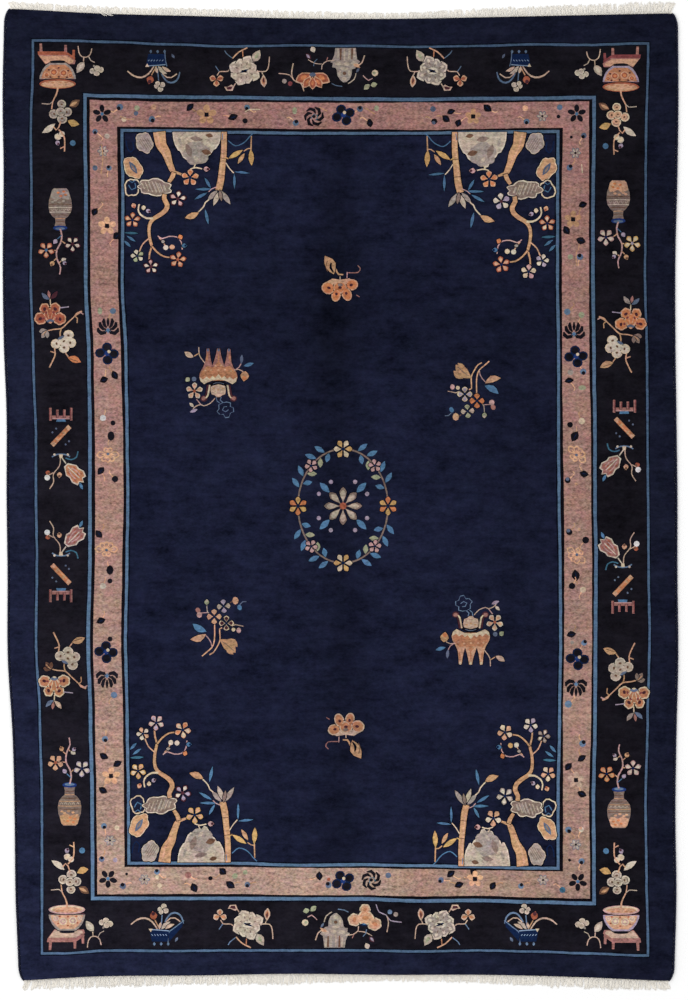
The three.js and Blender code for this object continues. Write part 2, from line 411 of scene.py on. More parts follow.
def blossom(s, x, y, r, petal, heart="deep", edge=None, turn=0.0, count=5, second=None):
    # Petals are broad towards their tips and leave dark gaps between them
    wide = min(3.3 / count, 0.8) * r
    for k in range(count):
        a = turn + math.pi / 2 + 2 * math.pi * k / count
        c = math.cos(a)
        n = math.sin(a)
        yarn = second if second and k % 2 else petal
        if edge:
            leaf(s, x + 0.12 * r * c, y + 0.12 * r * n, x + 1.06 * r * c, y + 1.06 * r * n, wide, edge,
                 full=0.66,
                 grooveShade=0.7)
            leaf(s, x + 0.22 * r * c, y + 0.22 * r * n, x + 0.9 * r * c, y + 0.9 * r * n, wide - 1.6, yarn,
                 full=0.66)
        else:
            leaf(s, x + 0.14 * r * c, y + 0.14 * r * n, x + r * c, y + r * n, wide, yarn, full=0.66,
                 grooveShade=0.7)
    dot(s, x, y, 0.2 * r, heart)


def rounds(s, lobes, fill, edge, rim=0.95, seedYarn=None, arcs=None):
    # A flower head of round lobes that share one rim
    cx = sum(x for x, _, _ in lobes) / len(lobes)
    cy = sum(y for _, y, _ in lobes) / len(lobes)
    for x, y, r in lobes:
        disc(s, x, y, r, r * 0.95, edge, sides=11, grooveShade=0.8)
    for x, y, r in lobes:
        disc(s, x, y, r - rim, r * 0.95 - rim, fill, sides=9)
    for x, y, r in lobes:
        a = math.atan2(y - cy, x - cx) if math.hypot(x - cx, y - cy) > 1 else 1.57
        if arcs:
            bow = [(x + 0.56 * r * math.cos(a + t), y + 0.56 * r * math.sin(a + t)) for t in (-1.1, -0.4,
                    0.4, 1.1)]
            stem(s, bow, arcs, 0.9)
        if seedYarn:
            disc(s, x - 0.1 * r * math.cos(a), y - 0.1 * r * math.sin(a), 0.22 * r, 0.3 * r, seedYarn, a, 6)


def bud(s, x, y, r, yarn, tip=None, turn=0.0):
    c = math.cos(turn)
    n = math.sin(turn)
    leaf(s, x - r * c, y - r * n, x + r * c, y + r * n, 1.7 * r, yarn, full=0.45, grooveShade=0.8)
    if tip:
        dot(s, x + 0.4 * r * c, y + 0.4 * r * n, 0.45 * r, tip)


def stripes(s, x, y, rx, ry, count, yarn, turn=0.0, width=1.0, lean=0.5):
    # Short diagonal veins inside a rock
    for k in range(count):
        f = (k + 0.5) / count * 2 - 1
        cx = f * rx * 0.8
        tall = ry * 0.75 * math.sqrt(max(1 - f * f, 0.05))
        p = []
        for v in (-1, 0, 1):
            u = cx + v * tall * lean * 0.4
            w = v * tall
            p.append((x + u * math.cos(turn) - w * math.sin(turn),
                      y + u * math.sin(turn) + w * math.cos(turn)))
        stem(s, p, yarn, width)


def mount(s, x0, x1, tall, yarn, seed, bumps=5, edge=None, rise=0.5):
    # A rock that stands on a line, with a lobed upper side
    own = random.Random(seed)
    heights = [own.uniform(0.82, 1.12) for _ in range(bumps)]
    for yarnNow, extra in ((edge, 1.0), (yarn, 0.0)):
        if yarnNow is None:
            continue
        points = [(x1 + extra, 0), (x0 - extra, 0)]
        for k in range(bumps):
            for f in (0.08, 0.3, 0.7, 0.92):
                t = (k + f) / bumps
                base = math.sin(math.pi * t) ** rise
                top = tall * base * (0.86 + 0.14 * math.sin(math.pi * f)) * heights[k] + extra
                points.append((x0 - extra + (x1 - x0 + 2 * extra) * t, max(top, 0.6)))
        shape(s, points, yarnNow, 0.12, 0.9 if extra or edge is None else 0.0)


gardenBlossoms = [
    (27.9, 139.6, 7.5), (14.5, 128.6, 6.6), (54.2, 132.4, 8.0), (9.7, 91.3, 7.6), (54.2, 69.3, 8.4),
    (66.2, 47.3, 8.4),
]  # place and radius of a corner tree's six blossoms


def gardenRocks(s, seed):
    stem(s, [(3.5, 9), (5, 17), (8, 21), (11, 18), (10, 10)], "deep", 1.3)
    stem(s, [(11.5, 5), (14, 14), (17, 17)], "deep", 1.2)
    lumps(s, 21.5, 11.0, 8.2, 11.0, 5, 0.22, "grey", -0.35, seed, "stone", 0.9)
    stripes(s, 22.5, 12.0, 6.2, 9.5, 5, "taupe", -0.35, 1.1)
    lumps(s, 10.5, 37.0, 8.6, 13.0, 5, 0.2, "camel", -0.55, seed + 1, "cream", 0.7)
    leaf(s, 6.5, 30.5, 14.5, 43.5, 5.5, "slate", full=0.5)
    leaf(s, 8.5, 34.0, 12.5, 41.0, 2.2, "taupe")
    lumps(s, 9.5, 57.5, 7.2, 9.2, 4, 0.25, "navy", 0.3, seed + 2, "cream", 1.3)
    stem(s, [(6, 55), (9, 60), (13, 58), (12, 53)], "azure", 1.2)
    stem(s, [(6.5, 50.5), (9.5, 52.5), (12.5, 50)], "azure", 1.0)
    lumps(s, 31.5, 57.5, 17.5, 8.8, 7, 0.26, "taupe", 0.08, seed + 3, "ivory", 1.1)
    stripes(s, 31.0, 57.0, 15.5, 7.6, 7, "stone", 0.08, 1.0, 1.2)
    stripes(s, 34.0, 57.5, 11.0, 6.0, 4, "grey", 0.08, 1.4, 1.2)
    mount(s, 50.0, 96.0, 33.5, "stone", seed + 4, 6, "ivory", 0.46)
    lumps(s, 72.5, 22.0, 14.0, 13.0, 6, 0.18, "grey", 0.2, seed + 5)
    leaf(s, 62.5, 12.0, 67.5, 26.5, 6.5, "taupe")
    leaf(s, 77.0, 19.5, 87.5, 22.5, 6.0, "brown")
    leaf(s, 66.0, 6.0, 79.0, 8.5, 5.5, "taupe")
    leaf(s, 81.0, 3.0, 89.0, 4.5, 4.5, "brown")
    leaf(s, 70.0, 25.0, 74.5, 31.0, 4.0, "stone")
    leaf(s, 55.0, 5.0, 58.0, 15.0, 3.0, "grey")


def gardenTree(s, tones):
    stem(s, [(36, 0, 12), (37.9, 13, 10.4), (42.7, 21.4, 8.6), (45.6, 31, 6.4), (48.5, 38.7, 5.6),
             (50.4, 42, 4.0)], "camel", grooveShade=0.9)
    stem(s, [(34.4, 2, 2.4), (36.5, 14, 1.8), (41, 23, 1.6), (44.9, 32, 1.2)], "apricot")
    stem(s, [(50.4, 41.6, 3.4), (54.2, 42.6, 2.6), (60, 45, 2.0)], "camel")
    stem(s, [(50.4, 42, 4.2), (49, 46.5, 4.2), (45.5, 52, 3.2)], "camel", grooveShade=0.9)
    upper = [(41.5, 64.5, 4.2), (40.9, 69.3, 4.4), (43.8, 75.5, 4.6), (42.4, 81, 4.6), (37, 85.8, 4.2),
             (31.2, 89.4, 4.0), (27.4, 94, 3.4), (26, 100.5, 3.0), (26.6, 109.5, 2.8), (28.8, 118.6, 2.6)]
    stem(s, upper, "camel", grooveShade=0.9)
    stem(s, [(28.8, 118.4, 2.2), (26.6, 126, 2), (26.2, 133, 1.8)], "camel")
    stem(s, [(28.8, 118.4, 2.2), (34, 124.6, 2), (40.8, 129.2, 1.8), (47.5, 130, 1.6)], "camel", grooveShade=0.7)
    stem(s, [(30, 89.4, 2.4), (23.6, 89.4, 2.2), (17.8, 85.8, 2.0), (15.4, 80.8, 1.8), (16.4, 75, 1.6)],
         "cream")
    stem(s, [(26.4, 110), (20, 116), (16.5, 124)], "apricot", 1.5)
    stem(s, [(58.5, 121.8), (57.6, 114.2), (53.2, 109), (45.6, 108.3), (38.9, 110.6), (34.5, 107.6)],
         "pink", 1.3)
    stem(s, [(42.2, 119), (39.5, 113.5), (36, 110)], "apricot", 1.3)
    dot(s, 42.4, 119.8, 2.6, "ivory")
    dot(s, 48.6, 119.3, 2.6, tones[6])
    bud(s, 60.6, 117.8, 2.8, "azure", "deep")
    bud(s, 56.8, 109.0, 2.7, "orange", None, 1.2)
    bud(s, 39.8, 113.6, 2.0, "grey")
    for (x, y, r), tone in zip(gardenBlossoms, tones):
        petal, second, heart, edge = tone
        blossom(s, x, y, r, petal, heart, edge, 0.2 * x, 5, second)
    bud(s, 25.4, 82.0, 2.6, "lilac", "maroon", 0.5)
    bud(s, 20.6, 78.6, 2.6, "cream", None, 1.5)
    bud(s, 11.0, 76.6, 2.8, "apricot", "rust", 1.2)
    leaf(s, 1.6, 112.5, 8.2, 119.5, 3.0, "azure", grooveShade=0.7)
    leaf(s, 4.0, 107.6, 13.0, 113.8, 2.8, "azure", grooveShade=0.7)
    leaf(s, 1.6, 104.4, 15.6, 105.2, 2.8, "teal", grooveShade=0.7)
    stem(s, [(66.5, 38.5, 1.4), (72, 37, 1.4), (78, 38.3, 1.4)], "cream")
    bud(s, 82.5, 38.6, 3.2, "pink", "maroon")
    stem(s, [(70, 37, 1.2), (71.5, 33.5, 1.2)], "cream")


def gardenBamboo(s):
    stem(s, [(99.6, 0, 5.2), (99.4, 19.5, 5.6), (97.8, 36.7, 5.8), (96.3, 51, 6.4), (94, 60.5, 6.4)],
         "camel", grooveShade=0.9)
    stem(s, [(98.4, 1, 1.6), (98.2, 20, 1.6), (96.6, 37, 1.6), (95.2, 50, 1.6)], "apricot")
    for x, y in ((99.0, 27.0), (97.0, 44.5)):
        stem(s, [(x - 3, y), (x + 3, y + 0.6)], "brown", 0.9)
    leaf(s, 93.0, 60.5, 83.5, 71.0, 5.0, "grey", grooveShade=0.7)
    leaf(s, 95.0, 61.5, 89.2, 76.5, 5.0, "stone", grooveShade=0.7)
    leaf(s, 96.2, 60.5, 105.8, 75.0, 5.2, "grey", grooveShade=0.7)
    leaf(s, 95.2, 60.0, 97.2, 72.0, 3.6, "taupe", grooveShade=0.7)
    stem(s, [(84.8, 70.2), (81.4, 73), (79.6, 77.4), (73.5, 84)], "cream", 1.5)
    leaf(s, 75.0, 83.5, 61.0, 89.2, 6.6, "camel", -0.8, grooveShade=0.7)
    leaf(s, 81.0, 80.0, 84.2, 96.0, 3.2, "azure", grooveShade=0.7)
    leaf(s, 70.5, 70.0, 83.5, 62.6, 3.2, "azure", grooveShade=0.7)
    leaf(s, 71.0, 59.4, 89.5, 59.2, 2.8, "azure", grooveShade=0.7)
    leaf(s, 86.6, 58.2, 80.5, 47.4, 3.0, "azure", grooveShade=0.7)
    stem(s, [(92.5, 57), (87.5, 59), (84.5, 62)], "pink", 1.0)
    stem(s, [(101.2, 32), (104.9, 37.9), (109, 42.6)], "cream", 1.2)
    leaf(s, 109.8, 59.5, 109.6, 42.6, 2.6, "azure", grooveShade=0.7)
    leaf(s, 109.6, 41.2, 125.0, 42.8, 2.6, "azure", grooveShade=0.7)
    stem(s, [(100.5, 26), (104, 28)], "gold", 1.2)
    leaf(s, 103.8, 27.6, 118.0, 18.6, 5.2, "gold", grooveShade=0.7)
    leaf(s, 113.0, 33.0, 119.6, 22.0, 4.2, "camel", grooveShade=0.7)
    leaf(s, 126.6, 35.0, 125.8, 18.0, 5.4, "gold", grooveShade=0.7)
    stem(s, [(125.9, 18.6, 1.6), (126.4, 4.2, 1.4)], "camel")
    stem(s, [(119, 20), (122.5, 17.5), (125.8, 17)], "camel", 1.2)
    stem(s, [(103.6, 9), (110.7, 14.4), (119.3, 11), (124.5, 5), (128.5, 1)], "azure", 1.2)
    stem(s, [(97.8, 8, 1), (98.4, 1.5, 1)], "azure")


gardens = [
    (122.5, 131.9, 1.02, -0.965, 41, [("ivory", "pink", "maroon", "maroon"), ("ivory", "sage", "deep", None),
                                      ("apricot", None, "rust", "rust"), ("apricot", None, "deep", "rust"),
                                      ("ivory", "pink", "maroon", "maroon"),
                                      ("orange", None, "deep", "apricot"),
                                      "apricot"]),
    (557.3, 132.1, -1.03, -1.0, 61, [("cream", "pink", "deep", None), ("ivory", "lilac", "deep", None),
                                     ("apricot", None, "deep", "rust"), ("apricot", "cream", "deep", "rust"),
                                     ("ivory", "lilac", "maroon", None), ("orange", None, "deep", "apricot"),
                                     "cream"]),
    (128.4, 862.3, 1.0, 1.0, 81, [("ivory", "lilac", "deep", "pink"), ("ivory", "apricot", "deep", None),
                                  ("cream", "orange", "deep", "apricot"),
                                  ("cream", "apricot", "deep", "gold"),
                                  ("lilac", "ivory", "maroon", "maroon"), ("apricot", None, "deep", "gold"),
                                  "ivory"]),
    (557.6, 866.0, -0.97, 1.01, 101, [("ivory", "lilac", "deep", None), ("grey", "ivory", "deep", "taupe"),
                                      ("apricot", "cream", "deep", None), ("apricot", "cream", "deep", None),
                                      ("ivory", None, "deep", "grey"), ("apricot", "ivory", "deep", None),
                                      "gold"]),
]  # origin on the inner line, stretch across and up, seed, yarns of the blossoms


def cornerGardens():
    for px, py, flipX, flipY, seed, tones in gardens:
        s = seenAt(px, py, flipX=flipX, flipY=flipY)
        gardenRocks(s, seed)
        gardenTree(s, tones)
        gardenBamboo(s)


def footedBowl(s, side, fill, legs, rail, board):
    # A bowl on a low stand with a flowering shrub; the origin is under the stand
    stem(s, [(-16.5, 0, 2.4), (-16, 9, 3)], legs)
    stem(s, [(8.5, 1.5, 2.4), (8.3, 11, 3)], legs)
    stem(s, [(16.6, 6.5, 2.4), (16, 18, 3)], rail)
    shape(s, [(-19.5, 8), (9, 8), (9.5, 11.5), (-19, 11.5)], rail)
    shape(s, [(9.5, 8.5), (18, 14), (17.5, 17), (9.5, 11.5)], rail)
    shape(s, [(-19, 11.5), (10.5, 11.5), (18.5, 17), (17.5, 20.5), (-12, 20.5)], legs)
    shape(s, [(-17.8, 12.4), (9.8, 12.4), (16.6, 17.2), (15.4, 19.6), (-12.2, 19.6)], board)
    disc(s, 0.5, 18.0, 8.2, 1.3, "ink")
    shape(s, [(-8, 19.5), (9, 19.5), (12.4, 22), (15.6, 26), (18.2, 32), (18.6, 35.4), (-17.8, 35.4),
              (-17.4, 32),
              (-14.6, 26), (-11.4, 22)], side, grooveShade=0.8)
    shape(s, [(-6.5, 21.2), (7.5, 21.2), (12.0, 24.4), (15.0, 29), (16.8, 34.8), (-16.0, 34.8), (-14.2, 29),
              (-10.8, 24.4)], "apricot" if fill == "pink" else "clay")
    for x, y, r in ((-3.4, 28.6, 4.2), (6.4, 29.4, 4.2), (-10.6, 31.6, 3.0), (13.2, 32.0, 2.6)):
        disc(s, x, y, r, 0.92 * r, "cream" if fill == "pink" else "apricot", sides=9)
        disc(s, x, y, 0.72 * r, 0.66 * r, fill, sides=8)
        disc(s, x, y, 0.42 * r, 0.4 * r, "cream" if fill == "pink" else "orange", sides=6)
    for x, y in ((1.6, 33.4), (1.4, 24.4), (-8.4, 26.4), (11.0, 27.2), (-6.8, 33.6), (9.8, 33.8)):
        disc(s, x, y, 1.3, 0.9, "rust" if fill == "pink" else "maroon", sides=6)
    stem(s, [(-17.2, 36.2), (18, 36.2)], "maroon", 1.2)
    disc(s, 0.4, 40.4, 18.4, 4.8, fill, sides=16, grooveShade=0.9)
    disc(s, 0.4, 40.9, 16.8, 3.6, "cream" if fill == "pink" else "camel", sides=16)
    disc(s, 0.4, 40.2, 15.0, 2.9, "apricot", sides=14)
    for x in (-9.5, -4.5, 3.5, 9.0):
        leaf(s, x - 2.4, 39.6 - 0.1 * abs(x), x + 2.4, 39.8 - 0.1 * abs(x), 1.4, "clay")


def bowlShrub(s, lobe, edge):
    stem(s, [(0.5, 41, 2.4), (0.3, 47, 1.9), (-1.6, 52.5, 1.7), (-4.4, 58, 1.4), (-5.5, 66, 1.3)], "apricot")
    stem(s, [(-4.5, 58), (-7.5, 60.5), (-15.5, 60)], "stone", 1.1)
    rounds(s, [(4.5, 60.5, 4.4), (-3.5, 70.5, 4.8), (5.0, 75.5, 5.0), (10.0, 68.5, 4.8), (3.4, 68.2, 4.6)],
           lobe, edge, 1.0, "brown", "taupe")
    leaf(s, 12.0, 63.0, 22.5, 56.5, 7.4, "brown", 0.5, 0.5, 0.7)
    leaf(s, 12.5, 62.4, 20.5, 58.0, 3.2, "camel")
    leaf(s, 10.5, 77.0, 22.0, 81.0, 7.0, "gold", 0.8, grooveShade=0.7)
    leaf(s, -2.0, 80.0, -15.0, 89.5, 6.2, "ivory", -0.6, grooveShade=0.7)
    stem(s, [(3.5, 78), (1.5, 84), (-1, 86.5), (-4, 83)], "apricot", 1.5)
    rounds(s, [(0.8, 93.2, 3.5), (4.6, 90.6, 3.0)], "cream", "ivory", 0.9)
    stem(s, [(1.5, 86), (6.5, 92), (7.5, 98.5), (7.2, 108)], "apricot", 1.6)
    stem(s, [(7.4, 103), (3.0, 105)], "apricot", 1.3)
    dot(s, 15.6, 99.5, 3.0, "azure")
    bud(s, 0.5, 99.5, 2.8, "lilac", "maroon", 1.1)


def seedling(s):
    # A small plant on a forked root beside the bowl's stand
    stem(s, [(20.9, 2.5), (21.8, 9), (24.6, 13.0), (29.4, 13.6), (33.2, 10.6), (34.6, 5)], "sand", 1.2)
    stem(s, [(26.6, 13.6), (26.2, 19.5)], "sand", 1.2)
    leaf(s, 27.0, 18.6, 19.6, 29.4, 7.6, "stone", 0.4, 0.45, 0.7)
    leaf(s, 26.2, 20.0, 21.4, 26.6, 3.4, "ivory", 0.2, 0.5)
    stem(s, [(31.5, 13), (33.6, 17), (37.5, 19)], "stone", 1.0)
    rounds(s, [(35.4, 27.6, 3.0), (39.4, 29.4, 3.2), (43.4, 26.2, 3.2), (40.0, 24.8, 3.0)], "stone",
           "ivory", 0.8)
    leaf(s, 38.0, 24.0, 36.0, 21.4, 2.2, "grey")


bowls = [
    (66.5, 950, 1, 1, "grey", "pink", "stone", "ivory", "dusty", "dusty", "sand"),
    (621.6, 950.6, -1, 1, "lilac", "pink", "stone", "ivory", "dusty", "dusty", "sand"),
    (57.2, 43.5, 1, -1, "grey", "rust", "grey", "stone", "dusty", "rust", "apricot"),
    (621.2, 46.6, -1, -1, "lilac", "rust", "apricot", "cream", "dusty", "red", "apricot"),
]  # place under the stand, mirroring, yarns of the bowl's side and front, the shrub and its rim, the stand


def cornerBowls():
    for px, py, flipX, flipY, side, fill, lobe, edge, legs, rail, board in bowls:
        s = seenAt(px, py, flipX=flipX, flipY=flipY)
        footedBowl(s, side, fill, legs, rail, board)
        bowlShrub(s, lobe, edge)
        seedling(s)


def vase(s, low, line):
    # A tall vase with a blossoming spray; the origin is under its foot
    shape(s, [(-6.2, 0), (6.2, 0), (8.2, 2), (9.6, 7), (11.2, 12), (11.8, 19), (10.8, 24.5), (7.6, 29),
              (5.0, 31),
              (4.7, 35), (5.6, 38.4), (-5.6, 38.4), (-4.7, 35), (-5.0, 31), (-7.6, 29), (-10.8, 24.5),
              (-11.8, 19), (-11.2, 12), (-9.6, 7), (-8.2, 2)], "taupe", 0.12, 0.9)
    shape(s, [(-6.2, 0.6), (6.2, 0.6), (8.2, 2.4), (9.4, 7), (9.6, 9), (5, 11.5), (1, 9.8), (-3, 12),
              (-9.6, 10.0),
              (-9.4, 7), (-8.2, 2.4)], low)
    for x, y in ((-2, 4.6), (3.6, 3.4), (5.4, 6.8), (0.6, 8.0)):
        disc(s, x, y, 1.7, 1.2, "orange", sides=7)
    for x, y in ((-5, 12.6), (3.4, 13.2), (7.4, 10.6), (-1, 14.6), (-7.6, 14.0)):
        disc(s, x, y, 1.8, 1.1, low, sides=7)
    for y, half, yarn in ((16.6, 11.2, "brown"), (19.8, 11.4, line), (24.6, 10.4, line), (27.6, 8.2, "brown"),
                          (31.2, 4.8, "camel"), (34.2, 4.4, "brown")):
        stem(s, [(-half, y), (0, y - 0.4), (half, y)], yarn, 0.9)
    for k in range(5):
        x = -8 + 4 * k
        stem(s, [(x - 1.4, 21.2), (x, 23.2), (x + 1.4, 21.2)], "stone", 0.9)
    disc(s, 0, 40.6, 7.2, 2.6, "royal", sides=14)
    disc(s, 0, 41.2, 5.0, 1.4, "mist", sides=10)


def spray(s, first, second):
    stem(s, [(0, 41.5, 2), (1.6, 48, 1.9), (0.4, 56, 1.8), (-3.4, 63, 1.8), (-3.2, 72, 1.7), (0.4, 81, 1.6),
             (-0.6, 88, 1.5)], "pink")
    stem(s, [(0.6, 53), (5.0, 56.5), (8, 58)], "apricot", 1.3)
    stem(s, [(-3.2, 63.5), (-8, 63.5), (-12, 64)], "apricot", 1.3)
    stem(s, [(-3.2, 71), (-6.5, 74)], "apricot", 1.2)
    stem(s, [(-1.5, 76.5), (1.2, 74)], "apricot", 1.2)
    stem(s, [(1.4, 48), (-3, 52)], "azure", 1.1)
    blossom(s, -14.0, 63.0, 8.0, *first)
    blossom(s, 12.4, 57.0, 8.0, *second)
    bud(s, -8.0, 77.0, 2.9, "camel", "brown", 2.0)
    bud(s, -5.0, 54.5, 2.7, "lilac", None, 2.2)
    bud(s, 3.6, 73.0, 2.7, "ivory", None, -0.6)
    bud(s, 4.5, 76.5, 2.4, "lilac", "maroon", 0.8)


vases = [
    (69.6, 825.6, 1, 1.0, "camel", ("apricot", "rust", None, 3.1, 5), ("ivory", "deep", "lilac", 3.1, 5)),
    (619.0, 828.0, -1, 0.95, "apricot", ("ivory", "deep", "pink", 0.0, 5),
     ("camel", "deep", "orange", 3.1, 5)),
    (60.2, 188.2, 1, -0.98, "grey", ("apricot", "azure", "rust", 0.0, 5),
     ("ivory", "maroon", "maroon", 0.0, 5)),
    (618.3, 180.2, -1, -1.0, "apricot", ("cream", "lilac", "gold", 0.0, 5),
     ("ivory", "deep", "pink", 0.0, 5)),
]  # place under the foot, mirroring, yarn of the foot, the two blossoms


def sideVases():
    for px, py, flipX, flipY, low, first, second in vases:
        s = seenAt(px, py, flipX=flipX, flipY=flipY)
        vase(s, low, "camel" if flipY > 0 else "ivory")
        spray(s, first, second)


def frill(s, x, y, rx, ry, yarn, phase, grooveShade=0.0):
    points = []
    for k in range(18):
        a = 2 * math.pi * k / 18
        f = 1 + 0.07 * math.cos(6 * a + phase)
        points.append((x + f * rx * math.cos(a), y + f * ry * math.sin(a)))
    shape(s, points, yarn, 0.1, grooveShade)


def fanPeony(s, fill, edge):
    # Two upright and two spreading lobes round a small cool heart
    lobes = [(-5.2, -6.6, 5.2, 5.6, 0.4), (5.0, -6.9, 5.4, 5.8, 2.2), (-9.4, 3.0, 6.2, 6.2, 1.1),
             (9.6, 3.4, 6.6, 6.2, 3.0), (0, -0.6, 6.4, 7.0, 0.0)]
    for x, y, rx, ry, phase in lobes:
        frill(s, x, y, rx, ry, edge, phase, 0.8)
    for x, y, rx, ry, phase in lobes:
        frill(s, x, y, rx - 1.3, ry - 1.3, fill, phase)
    for x, y, rx, ry, phase in lobes[:4]:
        stem(s, [(0.2 * x, 4.5 + 0.2 * y), (0.5 * x, 0.42 * y), (0.62 * x, 0.9 * y)], edge, 0.9)
        disc(s, 1.04 * x, y + 0.4, 1.6, 2.1, "maroon", phase, 7)
        disc(s, 0.7 * x, 0.6 * y + 1.2, 1.1, 1.6, "red", phase, 6)
    leaf(s, -4.0, 5.8, 4.4, 5.6, 4.0, "slate")
    leaf(s, -1.6, 7.4, 2.4, 7.0, 2.0, edge)


def peonyPair(s, head, headEdge, cluster, clusterEdge, tip, foliage):
    # A broad peony and a pale cluster on one branch; the origin is the peony's heart
    stem(s, [(32, -4, 2.0), (27, -1.6, 2.3), (24.5, 1, 1.5), (17, 8, 1.5), (11.5, 13, 1.7), (3.5, 14.0, 1.4),
             (-3, 15.5, 1.4)], "apricot")
    stem(s, [(29.6, -3.2), (33.4, -1.2)], "pink", 1.3)
    stem(s, [(24.8, 0.6), (27.4, 3.0), (27.0, 7.6)], "camel", 1.3)
    stem(s, [(11.4, 13.0, 1.6), (10.0, 18, 1.6), (10.8, 24, 1.5)], "camel")
    fanPeony(s, head, headEdge)
    stem(s, [(0.5, -10.4), (0.2, -16), (-0.6, -19)], "cream", 1.3)
    stem(s, [(9.5, -7.5), (19, -8.6)], "lilac", 1.2)
    leaf(s, 0.5, -16.4, 7.4, -24.4, 4.6, tip, 0.6, grooveShade=0.7)
    leaf(s, -0.5, -15.8, -8.4, -22.6, 4.4, "slate", -0.6, grooveShade=0.7)
    leaf(s, -0.4, -17.4, -1.6, -25.0, 3.2, "dusty", 0.0, grooveShade=0.7)
    for x, y, wide in ((-11.0, 16.4, 5.0), (-8.4, 22.6, 5.0), (-2.6, 22.6, 4.4)):
        leaf(s, -2.4, 14.6, x, y, wide, foliage, 0.3, 0.6, 0.7)
    stem(s, [(-3.4, 15.4), (-8.0, 20.0)], "camel", 1.0)
    rounds(s, [(18.6, 19.6, 5.4), (20.8, 27.4, 5.4), (14.0, 32.6, 5.4), (6.0, 28.4, 5.2), (13.6, 25.4, 5.4)],
           cluster, clusterEdge, 0.9, "brown")
    leaf(s, 7.4, 24.0, 14.5, 20.5, 3.0, "slate")
    stem(s, [(4.5, 32.8), (5.2, 38.6), (3.4, 44), (-0.6, 52)], "apricot", 1.6)
    stem(s, [(4.6, 37.4), (0.4, 36.0)], "apricot", 1.3)
    stem(s, [(15.5, 37.6), (19, 42.4)], "apricot", 1.3)
    leaf(s, 17.6, 42.0, 31.0, 46.8, 7.0, "orange" if head == "rust" else "camel", -0.6, grooveShade=0.7)
    stem(s, [(19.4, 43.4), (28.0, 46.0)], "brown", 0.9)


peonies = [
    (50.0, 315.4, 1, -1, "rust", "apricot", "ivory", "cream", "maroon", "grey"),
    (54.0, 684.4, 1, 1, "clay", "cream", "stone", "ivory", "sand", "brown"),
    (631.0, 320.6, -1, -1, "orange", "apricot", "ivory", "cream", "grey", "taupe"),
    (634.2, 696.0, -1, 1.02, "clay", "cream", "stone", "ivory", "grey", "taupe"),
]  # heart of the peony, mirroring, yarns


def sidePeonies():
    for px, py, flipX, flipY, head, headEdge, cluster, clusterEdge, tip, foliage in peonies:
        peonyPair(seenAt(px, py, flipX=flipX, flipY=flipY), head, headEdge, cluster, clusterEdge, tip,
                  foliage)


